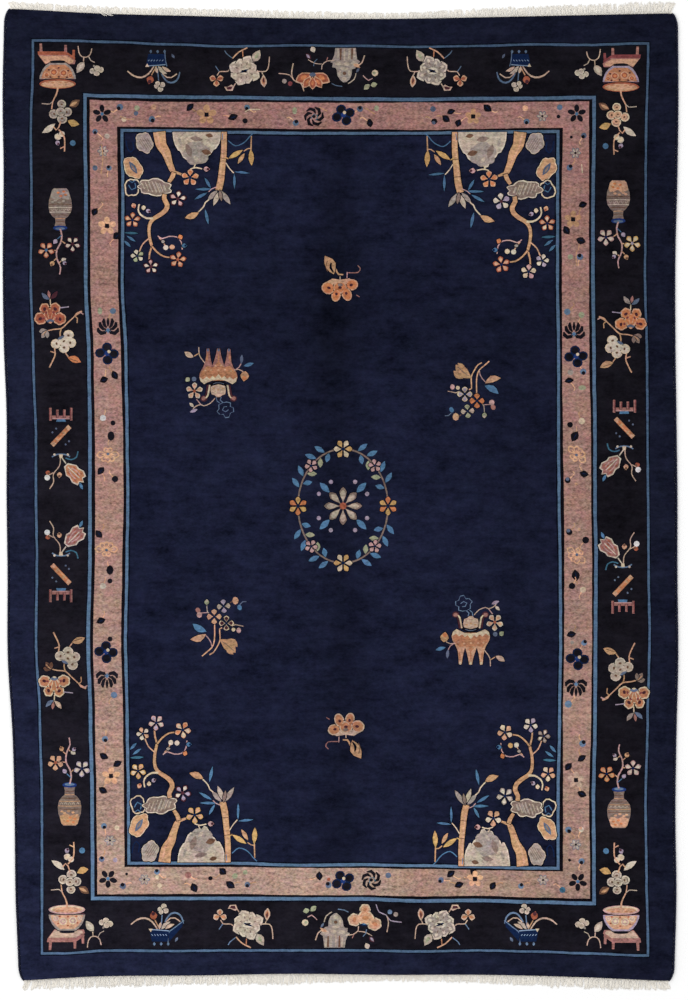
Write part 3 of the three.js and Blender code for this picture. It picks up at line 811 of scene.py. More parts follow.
def treasures(s, leafYarn, leafEdge):
    # A fan-shaped leaf and twig in a dish, a scroll with beads and a small bench
    stem(s, [(-9, 2.0), (-4, -0.6), (4, -0.6), (9, 1.8)], "mist", 1.6)
    for x in (-6.6, 6.8):
        dot(s, x, -0.4, 1.2, "ivory")
    shape(s, [(-2, -0.6), (2, -0.6), (1.4, 3.2), (-1.4, 3.2)], "cream")
    stem(s, [(17, -3.6), (15.4, 2.2), (10, 4.6), (4.6, 3.0)], "teal", 1.6)
    stem(s, [(1.0, 3, 1.4), (6.5, 10.5, 1.4)], "ivory")
    fan = s.within(13.6, 18.6, -0.78, size=0.94)
    for grow, yarn in ((1.3, leafEdge), (0.0, leafYarn)):
        shape(fan, [(-1.6 - grow, -11.8 - grow), (1.6 + grow, -11.8 - grow), (4.2 + grow, -8.6),
                    (6.6 + grow, -5.0),
                    (5.8 + grow, -1.0), (7.8 + grow, 4.6), (5.4 + grow, 9.2 + grow), (2.4, 8.6 + grow),
                    (0.4, 12.4 + grow), (-2.2, 9.0 + grow), (-5.2 - grow, 9.8 + grow), (-7.4 - grow, 5.0),
                    (-5.6 - grow, -0.6), (-6.8 - grow, -4.8), (-4.4 - grow, -8.4)], yarn, grooveShade=0.8 * grow)
    stem(fan, [(0, -10, 1.4), (0.3, 7, 1.4)], leafEdge)
    for x, low, high in ((-3.6, -7.0, 5.0), (3.6, -7.0, 4.6)):
        stem(fan, [(0.4 * x, low), (x, 0.4 * (low + high)), (0.9 * x, high)], "pink", 1.3)
    for x, y in ((-1.8, 3.4), (1.9, 3.0), (-5.0, 5.4), (5.2, 5.0), (-4.4, -4.6), (4.4, -4.6)):
        leaf(fan, x, y - 2.2, 0.9 * x, y + 2.2, 1.4, "rust")
    leaf(s, 18.6, 27.5, 21.6, 34.5, 3.2, "azure", grooveShade=0.7)
    stem(s, [(-0.6, 3), (-1.6, 11), (-7.6, 19), (-7.4, 27), (-11.5, 34)], "sand", 1.2)
    bud(s, -1.6, 20.0, 3.0, "apricot", "brown", 1.6)
    bud(s, -12.8, 18.0, 2.9, "rust", "brown", 0.4)
    dot(s, -13.8, 22.6, 2.9, "white")
    stem(s, [(-7.4, 17.5), (-12, 20)], "sand", 1.0)
    for x1, y1, x2, y2, yarn in ((-9.0, -9.8, 8.8, -28.6, "orange"), (-9.0, -9.8, -6.2, -12.8, "apricot"),
                                 (6.0, -25.6, 8.8, -28.6, "apricot"), (-4.6, -14.6, -3.0, -16.2, "camel"),
                                 (2.0, -21.4, 3.6, -23.0, "camel")):
        stem(s, [(x1, y1, 4.6), (x2, y2, 4.6)], yarn, step=60)
    stem(s, [(-9.0, -12.4), (5.4, -27.6)], "clay", 1.2, 60)
    stem(s, [(-6.4, -10.8), (7.4, -25.6)], "apricot", 1.0, 60)
    for x, y in ((-8.6, -22.6), (-4.8, -26.4), (8.0, -13.8), (4.6, -10.6)):
        dot(s, x, y, 1.0, "slate")
    shape(s, [(-4.8, -33.2), (5.0, -33.2), (4.2, -36.2), (-4.0, -36.2)], "azure")
    shape(s, [(-11.6, -36.4), (11.2, -36.4), (11.2, -39.4), (-11.6, -39.4)], "dusty", grooveShade=0.6)
    stem(s, [(-11.4, -36.2), (11.0, -36.2)], "pink", 0.9, 60)
    for x, up, low in ((-10.6, -34.4, -47.2), (-3.6, -38, -45.4), (3.4, -38, -45.4), (10.2, -34.4, -47.2)):
        stem(s, [(x, up, 2.4), (x, low, 2.4)], "dusty", step=60, grooveShade=0.6)
        stem(s, [(x - 0.6, up - 0.6), (x - 0.6, low + 0.6)], "red", 1.0, 60)


treasureSpots = [
    (61.0, 455.0, 1, -1, "clay", "ivory"), (61.0, 555.0, 1, 1, "dusty", "ivory"),
    (624.3, 447.0, -1, -1, "dusty", "ivory"), (622.8, 566.4, -1, 1, "dusty", "ivory"),
]  # the dish, mirroring, yarns of the fan-shaped leaf


def sideTreasures():
    for px, py, flipX, flipY, leafYarn, leafEdge in treasureSpots:
        treasures(seenAt(px, py, flipX=flipX, flipY=flipY), leafYarn, leafEdge)


def basinPlant(s, boxed):
    # A blue basin with curling leaves; the origin is the basin's middle
    stem(s, [(-2.5, 6, 1.6), (-7.9, 13.5, 1.8), (-14.8, 17.0, 2.2), (-22.4, 15.6, 2.0), (-29, 10.6, 1.3)],
         "sand")
    stem(s, [(0, 6), (-4.5, 14), (-6, 17)], "camel", 1.3)
    bud(s, -6.3, 19.6, 4.4, "rust", "maroon", 1.8)
    stem(s, [(1, 7), (2.0, 17), (2.4, 23)], "mist", 1.3)
    rounds(s, [(0.4, 25.6, 2.8), (4.0, 28.8, 2.8), (6.0, 24.4, 2.8), (1.2, 23.0, 2.4)], "stone", "ivory", 0.8)
    stem(s, [(3, 6, 1.4), (6, 15, 1.8), (11.5, 21.6, 2.0), (17.6, 21.8, 2.2), (21.8, 17.6, 2.0),
             (23.4, 11.6, 1.2)],
         "mist")
    leaf(s, 1.4, 5.6, 10.6, 13.6, 4.4, "stone", 0.8, grooveShade=0.7)
    leaf(s, 5.4, 6.0, 14.6, 11.0, 3.6, "sand", 0.8, grooveShade=0.7)
    leaf(s, -1.0, 6.0, 1.2, 13.0, 3.0, "sand")
    stem(s, [(6, 13), (10.6, 17.0), (15, 17.2), (20.4, 13.4)], "sand", 1.4)
    if boxed:
        shape(s, [(8.4, 1.8), (23.6, 14.4), (22.4, 8.4), (9.4, -6.4)], "deep")
        stem(s, [(24, 14.6), (16, 8.4), (8.4, 1.8), (8.2, -8.6)], "mist", 1.2)
    else:
        stem(s, [(10.6, 6), (9.0, 0), (8.4, -9)], "mist", 1.2)
    shape(s, [(-10.4, 6.2), (9.6, 5.0), (8.6, 0), (8, -6.4), (-8, -6.4), (-9.4, 0)], "deep")
    stem(s, [(-10.6, 5.6), (0, 5.0), (9.0, 4.2)], "sky", 1.1)
    for k in range(6):
        stem(s, [(-8.4 + 2.8 * k, 0.8), (-7.0 + 2.8 * k, -0.6)], "sky", 0.8)
    shape(s, [(-11.2, 6.4), (-7.2, 6.4), (-9.2, 3.0)], "cream")
    for x in (-5.6, 1.2, 8.2):
        leaf(s, x, -7.0, x, -10.6, 2.6, "mist")
    leaf(s, 15.2, -6.6, 18.0, -2.0, 2.6, "slate")


def peonyHead(s, petal, edge, heart, r=15.0):
    # Eight fused petals with veins, round a torn dark heart
    petals = []
    for k in range(8):
        a = 2 * math.pi * k / 8 + 0.39
        reach = (1.14, 0.9, 1.02, 0.96, 1.06, 0.88, 1.1, 0.9)[k] * r
        petals.append((reach * math.cos(a), reach * math.sin(a)))
    for x, y in petals:
        leaf(s, 0.1 * x, 0.1 * y, x, y, 0.82 * r, edge, full=0.64, grooveShade=0.8)
    for x, y in petals:
        leaf(s, 0.1 * x, 0.1 * y, 0.88 * x, 0.88 * y, 0.62 * r, petal, full=0.64)
    for x, y in petals:
        leaf(s, 0.4 * x, 0.4 * y, 0.82 * x, 0.82 * y, 0.2 * r, edge, full=0.6)
        leaf(s, 0.36 * x, 0.36 * y, 0.6 * x, 0.6 * y, 0.1 * r, "taupe")
    disc(s, 0, 0, 0.36 * r, 0.24 * r, edge, sides=10)
    leaf(s, -0.3 * r, 0.12 * r, 0.34 * r, -0.12 * r, 0.16 * r, heart)
    leaf(s, -0.2 * r, -0.06 * r, 0.26 * r, 0.1 * r, 0.14 * r, "ink")


def endBorderHalf(s, petal, low):
    # From the basin plant to the peony; the origin is the middle of the end border
    basinPlant(s.within(-180.6, -10.6), low)
    for x, y in ((-120.6, 15.6), (-127.4, 6.4), (-113.6, 6.4)):
        leaf(s, -120.6, 8.6, x, y, 6.6, "sand" if low else "apricot", full=0.6, grooveShade=0.7)
        leaf(s, -120.6, 8.6, 0.85 * x - 18, 0.85 * y + 1.3, 3.4, "clay" if low else "rust", full=0.6)
    stem(s, [(-120, 4.5), (-117.6, 0.8), (-109, 0.2), (-105.6, -4.4)], "sand", 1.2)
    stem(s, [(-117.8, 0.6), (-121.6, -5)], "mist", 1.1)
    shape(s, [(-112.8, 15.8), (-110.6, 19.6), (-104.6, 19.8), (-102.8, 15.4), (-105.4, 13.6),
              (-109.6, 15.8)], "sand")
    shape(s, [(-110.8, 16.6), (-109.4, 18.6), (-105.6, 18.6), (-104.6, 15.8), (-106.6, 15.6)], "maroon")
    stem(s, [(-103.4, 15.6), (-100.6, 11.0)], "sand", 1.2)
    stem(s, [(-104.5, -12.5), (-98, -19), (-89.6, -23.2)], "apricot", 1.5)
    stem(s, [(-105, -13), (-110.5, -17.4), (-112.4, -20.4)], "mist", 1.1)
    stem(s, [(-94, -14), (-94.4, -20.4)], "clay", 1.2)
    peonyHead(s.within(-93, 0), petal, "ivory", "deep")
    stem(s, [(-80, 0.4), (-71, 0.2), (-68.4, -5), (-67.6, -14.4)], "sand", 1.2)
    stem(s, [(-75.4, 0.4), (-73.8, 4.6)], "sand", 1.2)
    leaf(s, -73.6, 3.4, -72.6, 16.4, 6.6, "sand", 0.4, 0.55, 0.7)
    leaf(s, -73.4, 5.4, -72.8, 14.4, 4.0, "clay", 0.4, 0.55)
    leaf(s, -73.3, 6.4, -72.9, 12.6, 1.8, "maroon", 0.4, 0.5)
    leaf(s, -83.5, -9.5, -77.0, -21.0, 8.6, "stone", full=0.42, grooveShade=0.7)
    leaf(s, -82.0, -12.0, -78.4, -18.0, 3.4, "sage", full=0.42)


def endBorderRock(s):
    rock = s.within(-5.0, -23.0)
    shape(rock, [(-11.2, 0), (9.4, 0), (10.2, 7), (11.8, 11), (14.4, 14.2), (11.6, 15.4), (12.4, 19.4),
                 (9.2, 19.8),
                 (8.0, 21.8), (7.2, 27.4), (4.6, 31.6), (1.2, 34.4), (-1.6, 34.0), (-5.2, 31), (-7.0, 26.4),
                 (-7.4, 21.2), (-10.6, 20.4), (-12.2, 17.6), (-15.6, 13.6), (-12.6, 11.6), (-11.8, 5)],
          "grey", grooveShade=0.8)
    for x, tall in ((-7.6, 11.5), (3.8, 12)):
        stem(rock, [(x, 0.4, 2.3), (x + 0.3, tall, 1.6)], "brown")
    for x, tall in ((-9.6, 9), (-4.6, 12), (0.2, 13), (6.4, 10)):
        stem(rock, [(x, 0.6, 1.7), (x + 0.2, tall, 1.7)], "stone")
    for x, y, rx, ry in ((-9.6, 15.2, 3.4, 2.0), (-2.0, 16.0, 3.0, 2.0), (6.6, 15.4, 3.6, 2.0),
                         (0.2, 20.8, 4.6, 1.6),
                         (0.3, 30.6, 2.6, 2.0), (-4.6, 25.0, 1.5, 2.8), (4.6, 25.0, 1.5, 2.8)):
        disc(rock, x, y, rx, ry, "stone", sides=8)
    disc(rock, 0.2, 25.4, 1.9, 1.8, "brown", sides=8)


def endBorderMiddle(s, low):
    endBorderRock(s)
    if low:
        flower = s.within(23.5, 7.6)
        lobes = [(1.0, 7.4, 5.6, 5.6, 0.5), (-9.2, -2.8, 7.0, 6.4, 1.4), (10.4, -7.0, 7.2, 6.6, 2.6),
                 (1.4, -1.0, 8.6, 7.0, 0.0)]
        for x, y, rx, ry, phase in lobes:
            frill(flower, x, y, rx, ry, "cream", phase, 0.8)
        for x, y, rx, ry, phase in lobes:
            frill(flower, x, y, rx - 1.3, ry - 1.3, "apricot", phase)
        for x, y, rx, ry, phase in lobes:
            disc(flower, 1.04 * x, y, 0.42 * rx, 0.3 * ry, "clay", phase, 8)
        stem(flower, [(-3.4, 0.4), (-2.0, 4.0), (1.6, 5.2), (4.4, 2.8)], "clay", 0.9)
        leaf(flower, -4.4, -7.4, 4.2, -8.4, 3.0, "deep")
        leaf(flower, -2.4, -6.8, 2.2, -7.4, 1.5, "azure")
    else:
        flower = s.within(27, 6, size=1.0)
        for x, y, turn, long, wide in ((-9, 0.6, 0.5, 19, 11), (9, 0.6, -0.5, 19, 11),
                                       (-5.4, 5.0, 1.0, 14, 8.4),
                                       (5.4, 5.0, -1.0, 14, 8.4), (0, 6.0, 1.57, 13, 8.6)):
            c = math.cos(turn) * long / 2
            n = math.sin(turn) * long / 2
            sign = -1 if x > 0 else 1
            leaf(flower, x + sign * c, y - sign * n, x - sign * c, y + sign * n, wide, "apricot", full=0.55)
            leaf(flower, x + 0.8 * sign * c, y - 0.8 * sign * n, x - 0.84 * sign * c, y + 0.84 * sign * n,
                 wide - 2.2,
                 "rust", full=0.55)
            leaf(flower, x + 0.4 * sign * c, y - 0.4 * sign * n, x - 0.4 * sign * c, y + 0.4 * sign * n,
                 wide - 6.0,
                 "orange")
        disc(flower, 0, -2.4, 3.4, 2.2, "slate", sides=8)
    stem(s, [(18, -1.6), (17.6, -6), (12.4, -10.0), (5.4, -10.4)], "sand", 1.1)
    stem(s, [(18, -7), (24.4, -7.6), (31.6, -11.4)], "sand", 1.0)
    stem(s, [(26.0, -5), (25.2, -9), (22.4, -12)], "mist", 1.0)
    leaf(s, 28.6, -12.0, 33.6, -17.6, 4.6, "maroon")
    leaf(s, 29.8, -12.8, 33.2, -16.8, 2.4, "lilac")
    bud(s, 26.6, -21.4, 3.2, "ivory", None, 2.0)
    stem(s, [(13.4, -9.8), (11.8, -13.6)], "dusty", 1.0)
    stem(s, [(-2.6, 15.4), (4, 14.4), (8.0, 12.4)], "mist", 1.1)
    stem(s, [(35.6, 20.2), (38.6, 12.6), (45.4, 9.6), (50, 4), (61, 2.4)], "lilac" if low else "sand", 1.2)
    stem(s, [(46.6, 8.0), (48.0, 2.0), (46.4, -7.6)], "sand", 1.3)
    dot(s, 49.4, 12.6, 2.4, "mist" if low else "red")
    dot(s, 55.2, 10.2, 2.4, "grey")
    leaf(s, -37.6, 13.0, -31.0, 14.4, 5.4, "sage", grooveShade=0.7)
    leaf(s, -30.0, 13.4, -24.4, 18.4, 5.4, "sage", grooveShade=0.7)
    dot(s, -35.4, 2.0, 3.3, "cream")
    dot(s, -34.6, 2.2, 1.6, "sage")
    stem(s, [(-33, 7.4), (-28.8, 9.4), (-23.4, 4.6)], "pink", 1.1)
    stem(s, [(-25.0, -15.6), (-22.4, -8.4), (-18, -5.4)], "sand", 1.4)
    shape(s, [(-20.6, -3.0), (-14.6, -4.6), (-13.6, -7.6), (-18.6, -7.0)], "apricot")
    stem(s, [(-16.4, 2.4), (-14.4, 8.4), (-8.6, 12.6)], "stone", 1.2)
    leaf(s, -19.8, -3.4, -16.6, 1.8, 2.4, "slate")


def endBorders():
    low = seenAt(340.5, 924.5)
    endBorderHalf(low, "stone", True)
    endBorderHalf(seenAt(347.5, 924.5, flipX=-1), "grey", True)
    endBorderMiddle(low, True)
    high = seenAt(339.6, 71.0, flipX=-1, flipY=-1)
    endBorderHalf(high, "grey", False)
    endBorderHalf(seenAt(337.0, 71.0, flipY=-1), "stone", False)
    endBorderMiddle(high, False)


def censer(s, low, mid, rim, foot):
    # A three-footed incense burner with smoke and a spray; the origin is between its feet
    body = [(-19, 28.6), (-18.0, 24), (-14.8, 18.6), (-12.8, 13.6), (-12.2, 7.4), (-11.8, 0.6), (-8.8, 0.4),
            (-8.4, 5.4), (-7.2, 11.4), (-5.5, 17.2), (-3.8, 12.0), (-2.4, 6), (-1.5, 0), (1.4, 0), (2.6, 6),
            (4.4, 12.0), (6.2, 17.2), (7.8, 11.6), (8.8, 5.4), (9.3, -0.2), (12.0, 0.2), (12.6, 7.4),
            (13.6, 13.6),
            (15.4, 18.6), (18.6, 24), (19.4, 28.6), (18.2, 32.6), (14.4, 35.4)]
    brow = [(10.4, 33.6), (6, 31.8), (0, 31), (-6, 31.8), (-10, 33.6), (-14, 35.6), (-17.6, 32.8)]
    shape(s, body + brow, low, grooveShade=0.8)
    shape(s, [(-18.2, 28.4), (-17, 23.4), (-11.4, 17.4), (-5.2, 18.6), (0.1, 12.2), (5.4, 18.6), (11.8, 17.4),
              (17.4, 23.4), (18.6, 28.4), (14, 32), (-14, 32)], mid)
    shape(s, [(-18.6, 28.2), (-14.6, 31), (-11.6, 28.2), (-8.6, 30.2), (-5.8, 27.4), (-3, 29.4), (0.2, 25.4),
              (3.4, 29.4), (6, 27.2), (9, 30.2), (12, 28.0), (15.4, 31), (19, 28.4), (18.2, 32.6),
              (14.4, 35.4)]
          + brow, rim)
    for x, y in ((-12.4, 22.4), (-6.4, 21.0), (-2.4, 16.6), (3.0, 17.4), (7.4, 21.4), (13.0, 22.0),
                 (0.4, 21.6)):
        disc(s, x, y, 1.3, 1.0, "rust" if mid != "clay" else "apricot", sides=6)
    for x in (-10.3, 0.0, 10.7):
        disc(s, x, 1.4, 1.2, 1.6, foot, sides=7)
        leaf(s, 1.02 * x, 4, 1.1 * x, 14, 2.0, mid)
    shape(s, [(-6.2, 35.6), (-3, 35.0), (3.6, 35.0), (7.2, 35.6), (8.2, 41), (7.2, 45.6), (4, 46.6),
              (1.8, 48.6),
              (-1.6, 48.4), (-3.4, 46.6), (-6.4, 45.6), (-7.4, 41)], "sand", grooveShade=0.7)
    for x, y in ((-4, 39.8), (0.4, 41.2), (4.6, 39.8), (-2.6, 43.6), (2.8, 44), (0, 46.6)):
        disc(s, x, y, 1.4, 1.0, "camel" if y < 42 else rim, sides=6)
    shape(s, [(-10.6, 39.2), (-8.6, 35.2), (-4, 32.6), (0, 31.6), (4.4, 32.6), (8.6, 35.2), (10.2, 39.2),
              (5.8, 37.0), (0, 35.6), (-5.8, 37.0)], "black")
    stem(s, [(-5.4, 35.4), (-2, 34.2), (2.6, 34.2), (5.6, 35.4)], "slate", 0.9)
    for sign in (-1, 1):
        stem(s, [(9.8 * sign, 36.4, 3.8), (10.8 * sign, 42, 3.6), (11.8 * sign, 47, 3.8),
                 (14.4 * sign, 50, 4.2)],
             "maroon", grooveShade=0.6)
        disc(s, 14.8 * sign, 50.0, 3.6, 3.2, "maroon")
        disc(s, 15.0 * sign, 49.8, 2.3, 2.0, "dusty")
        stem(s, [(8.8 * sign, 36.4, 2.0), (9.8 * sign, 42, 2.0), (10.8 * sign, 47, 2.0),
                 (12.6 * sign, 49.4, 1.6)],
             "cream")
    smoke = s.within(-6.4, 59.6)
    for grow, yarn in ((0.8, "mist"), (0.0, "navy")):
        shape(smoke, [(2.6 + grow, -5.2), (5.8 + grow, -3.4), (5.6 + grow, 0.6), (7.6 + grow, 3.4),
                      (4.6 + grow, 6.4),
                      (1.6, 5.8 + grow), (-0.4, 9.2 + grow), (-4.0, 8.4 + grow), (-5.0 - grow, 4.8),
                      (-8.2 - grow, 3.6), (-8.0 - grow, -0.4), (-5.0 - grow, -1.6),
                      (-5.2 - grow, -4.8 - grow),
                      (-1.6, -5.8 - grow)], yarn)
    stem(smoke, [(-3.6, 1.4), (-0.6, 3.6), (2.6, 2.0), (1.0, -1.4), (-2.0, -1.6)], "mist", 0.9)
    stem(s, [(-2.6, 48.4), (-1.6, 51.6), (-4.4, 54.0)], "mist", 1.1)
    stem(s, [(2.4, 48.4), (1.6, 52.4), (-1.0, 54.4)], "mist", 1.0)
    stem(s, [(3.6, 49.6), (8.4, 54.8), (14.8, 57.2), (17.8, 56), (22.6, 57.6), (25.6, 60)], "sand", 1.1)
    leaf(s, 21.0, 60.6, 28.6, 63.6, 3.6, "lilac")
    leaf(s, 24.8, 58.4, 29.0, 54.4, 3.4, "ivory")
    stem(s, [(17.8, 56), (22.0, 50.6)], "pink", 1.2)
    blossom(s, 24.2, 42.4, 8.2, "apricot", "rust", "ivory", 0.6, 5)
    bud(s, 31.0, 31.0, 2.8, "sage", None, 0.8)
    dot(s, 24.6, 30.4, 2.4, "slate")
    bud(s, -26.0, 27.6, 5.2, "camel", "orange", 1.4)
    stem(s, [(-24.6, 23), (-20, 20.8), (-15.5, 21.2)], "sand", 1.2)
    stem(s, [(-15.5, 22), (-20.4, 18.6), (-22.4, 15)], "pink", 1.2)
    leaf(s, -25.0, 17.4, -35.2, 14.6, 3.8, "azure")
    leaf(s, -22.6, 15.4, -23.4, 6.0, 3.4, "slate")
    stem(s, [(13.6, 14.6), (19, 7), (19.8, -1.6)], "sand", 1.1)
    stem(s, [(19.4, 4.6), (24.6, 7.6)], "camel", 1.2)
    leaf(s, 25.0, 8.6, 34.2, 3.2, 5.4, "sand", 0.4, grooveShade=0.7)


def springSprig(s, first, second, third):
    # Three four-petalled flowers with leaves on two curved stems
    stem(s, [(-0.5, 8), (-0.3, -6), (-1.2, -13), (-3.2, -17.6), (-8, -21.8), (-13.0, -26.2)], "fawn", 1.4)
    stem(s, [(-3, -17.0), (-4, -12.4), (-6.2, -8.6), (-9.6, -5.2)], "pink", 1.1)
    stem(s, [(7, 2.4), (4.6, 1), (5, -10), (1.6, -17.6), (-1.8, -22.6), (-5.6, -24.8)], "fawn", 1.4)
    stem(s, [(5, -10.6), (9, -9.8)], "fawn", 1.2)
    stem(s, [(-8.2, 25), (-7.6, 18.4), (-5.4, 15.6), (-3, 14.4)], "stone", 1.1)
    stem(s, [(-14.4, 17.0), (-7.6, 17.4)], "pink", 1.0)
    leaf(s, 4.4, -9.2, 20.6, -22.6, 11.8, "camel", 1.4, 0.56)
    leaf(s, 13.0, -9.0, 22.6, -16.8, 6.4, "camel", 1.0)
    leaf(s, 11.4, -16.0, 18.6, -24.4, 5.0, "camel", -1.0)
    stem(s, [(7, -11.4), (12.6, -15.2), (18.6, -20.8)], "taupe", 0.9)
    blossom(s, -0.8, 13.4, 7.4, first, "deep", None, 0.0, 4)
    blossom(s, 8.6, 23.8, 6.8, second, "deep", None, 0.1, 4, "stone")
    blossom(s, 11.4, 6.8, 7.2, third, "deep", "cream", 0.0, 4)
    stem(s, [(15.0, 27.2), (18.6, 29.6)], "brown", 1.0)
    bud(s, -8.2, 28.0, 2.9, "sage", "stone", 1.5)
    disc(s, 20.4, 29.4, 3.2, 3.8, "apricot", sides=8)
    disc(s, 24.6, 22.4, 2.2, 2.9, "azure", 0.4, 8)
    stem(s, [(24.8, 25.4), (27.6, 28.2), (31.4, 28.4)], "slate", 1.2)
    stem(s, [(17, 4.0), (20.4, 5.4), (24, 4.6), (28.4, 3.8)], "sand", 1.1)
    dot(s, 18.4, 0.4, 2.0, "cream")
    disc(s, 23.8, -0.4, 2.3, 2.8, "pink", sides=8)
    disc(s, -17.0, 19.8, 2.4, 2.8, "dusty", 0.5, 8)
    disc(s, -15.6, 15.2, 2.7, 3.0, "pink", 0.0, 8)
    leaf(s, -8.4, -1.6, -22.4, 6.4, 6.8, "azure", 1.2, grooveShade=0.7)
    leaf(s, -8.8, -4.2, -24.8, -9.4, 6.8, "apricot", 1.8, grooveShade=0.7)


def halfPeony(s, fill, edge):
    # A half-open flower with a trailing leaf
    lobes = ((-11.6, -2.6, 6.4, 5.6, 0.2), (-6.4, 6.6, 5.0, 7.2, 0.35), (4.0, 7.4, 4.8, 7.0, -0.2),
             (12.0, 0.6, 6.8, 6.2, -0.3), (0.2, 0.2, 6.8, 6.2, 0.0))
    for x, y, rx, ry, turn in lobes:
        disc(s, x, y, rx, ry, edge, turn, 12, 0.8)
    shape(s, [(-15, -6.0), (-9, -9.0), (0, -7.6), (8, -8.8), (15, -4.6), (11, -3.0), (-10, -3.4)], edge)
    for x, y, rx, ry, turn in lobes:
        disc(s, x, y, rx - 1.1, ry - 1.1, fill, turn, 11)
        disc(s, 0.94 * x, 0.9 * y, 0.3 * rx, 0.24 * ry, "maroon", turn, 7)
    stem(s, [(-3.4, 3.4), (-1.4, 5.0), (1.6, 4.6), (3.4, 2.6)], edge, 0.9)
    disc(s, 0, -2.6, 2.8, 1.8, "taupe", sides=8)
    stem(s, [(0, -6.6), (0.2, -11)], "sand", 1.2)
    stem(s, [(-6.8, -9.6), (-7, -15.4)], "pink", 1.0)
    stem(s, [(-19.4, 9.6), (-16.2, 7.6)], "dusty", 1.0)
    stem(s, [(-8.2, -14.6), (-17.8, -15), (-20.0, -19.4), (-17.4, -22.0)], "dusty", 1.1)
    stem(s, [(-3, -12.8, 1.6), (1.6, -13.0, 2.0), (4.6, -18.6, 2.0), (6.2, -24, 2.0)], "camel")
    leaf(s, 6.4, -13.0, 15.4, -31.6, 11.0, "camel", -1.2, grooveShade=0.8)
    stem(s, [(6.6, -15, 1.4), (9.6, -19.6, 2.6), (9.0, -24.6, 1.6)], "shade")
    stem(s, [(12.6, -16), (14.4, -20.6), (12.8, -26.6)], "brown", 0.9)


def fieldSingles():
    censer(seenAt(218.6, 348.6, turn=math.pi), "dusty", "clay", "cream", "slate")
    censer(seenAt(470.6, 664.6), "apricot", "clay", "cream", "cream")
    springSprig(seenAt(215.0, 630.0), "apricot", "lilac", "maroon")
    springSprig(seenAt(476.2, 387.4, turn=math.pi), "orange", "sage", "lilac")
    halfPeony(seenAt(345.8, 727.0), "clay", "sand")
    halfPeony(seenAt(340.2, 287.4, turn=math.pi), "orange", "apricot")


wreath = {"px": 343.0, "py": 506.0, "wide": 45.0, "tall": 57.0, "gap": 0.16, "leaf": 12.0, "flower": 9.4,
          "middle": 18.0}  # place in the photo, and sizes in knots


def wreathAt(a, more=0.0):
    return (wreath["wide"] + more) * math.cos(a), (wreath["tall"] + more) * math.sin(a)


def middleWreath():
    # A plain oval wreath round one large flower, the same in all four quarters
    s = seenAt(wreath["px"], wreath["py"])
    quarter = math.pi / 2
    span = quarter - 2 * wreath["gap"]
    for q, petal in enumerate(("orange", "cream", "orange", "cream")):
        start = q * quarter + wreath["gap"]
        stem(s, [wreathAt(start + span * k / 12) for k in range(13)], "taupe", 1.9)
        for k in (2, 4, 8, 10):
            for out, yarn in ((1, "azure"), (-1, "sage" if k in (4, 8) else "azure")):
                a = start + span * (k + 0.4 * out) / 12
                way = a + out * (0.6 if k < 6 else -0.6)
                x, y = wreathAt(a, 1.2 * out)
                reach = out * wreath["leaf"] * (1.0 if out > 0 else 0.8)
                leaf(s, x, y, x + reach * math.cos(way), y + reach * math.sin(way), 5.2, yarn)
        x, y = wreathAt(start + span / 2)
        blossom(s, x, y, 6.6, "pink", "deep", None, start, 5)
        x, y = wreathAt(q * quarter)
        blossom(s, x, y, wreath["flower"], petal, "deep", None, q * quarter, 6, "gold")
        a = (q + 0.5) * quarter
        leaf(s, 19 * math.cos(a), 19 * math.sin(a), 33 * math.cos(a), 33 * math.sin(a), 6.4, "azure")
        for side in (-0.32, 0.32):
            dot(s, 27 * math.cos(a + side), 27 * math.sin(a + side), 2.2, "lilac")
    blossom(s, 0, 0, wreath["middle"], "stone", "rust", "taupe", 0.0, 8)


bandLeaves = [
    (95, 212, 8, 6, 60), (101, 471, 9, 6, 50), (115, 375, 9, 6, 120), (99, 534, 9, 6, 130),
    (101, 621, 9, 6, 20),
    (104, 756, 9, 6, 150), (117.5, 764, 9, 6, 30), (103, 790, 9, 6, 150), (117, 236, 8.5, 7, 40),
    (190.2, 107.4, 9.4, 5.4, 45), (233, 117.4, 10, 6, 20), (487.6, 108.0, 9.6, 6.6, 140),
    (446.1, 118.5, 9, 6, 140),
    (451.1, 111.9, 8, 5, 20), (458.6, 123.2, 7.5, 6, 70), (369.9, 123.2, 6, 8, 10), (582.8, 205, 8.4, 6, 20),
    (566.7, 230.2, 9, 6.6, 120), (581, 240.4, 9.4, 7, 160), (569.2, 380.8, 9, 5, 10),
    (575, 436.4, 11, 7.4, 60),
    (584.2, 473.7, 9, 6, 165), (576, 575.3, 11, 7.6, 100), (571.3, 634.6, 9, 6, 10),
    (581.9, 758.5, 9.4, 5.4, 35),
    (568.6, 766.8, 9, 6, 50), (582, 793.8, 9.4, 6, 155), (194.3, 887.7, 9.4, 7, 115),
    (222.9, 871.3, 8, 6.6, 140),
    (230.5, 884.6, 10.4, 6.6, 145), (319.6, 875.9, 8.4, 6, 95), (104, 380, 8, 6, 20),
        (451, 874, 9, 6, 40), (459, 885, 9, 6, 20), (474, 872, 8, 6, 150), (493, 886, 8.6, 6, 60),
]  # place, length, width, turn in degrees
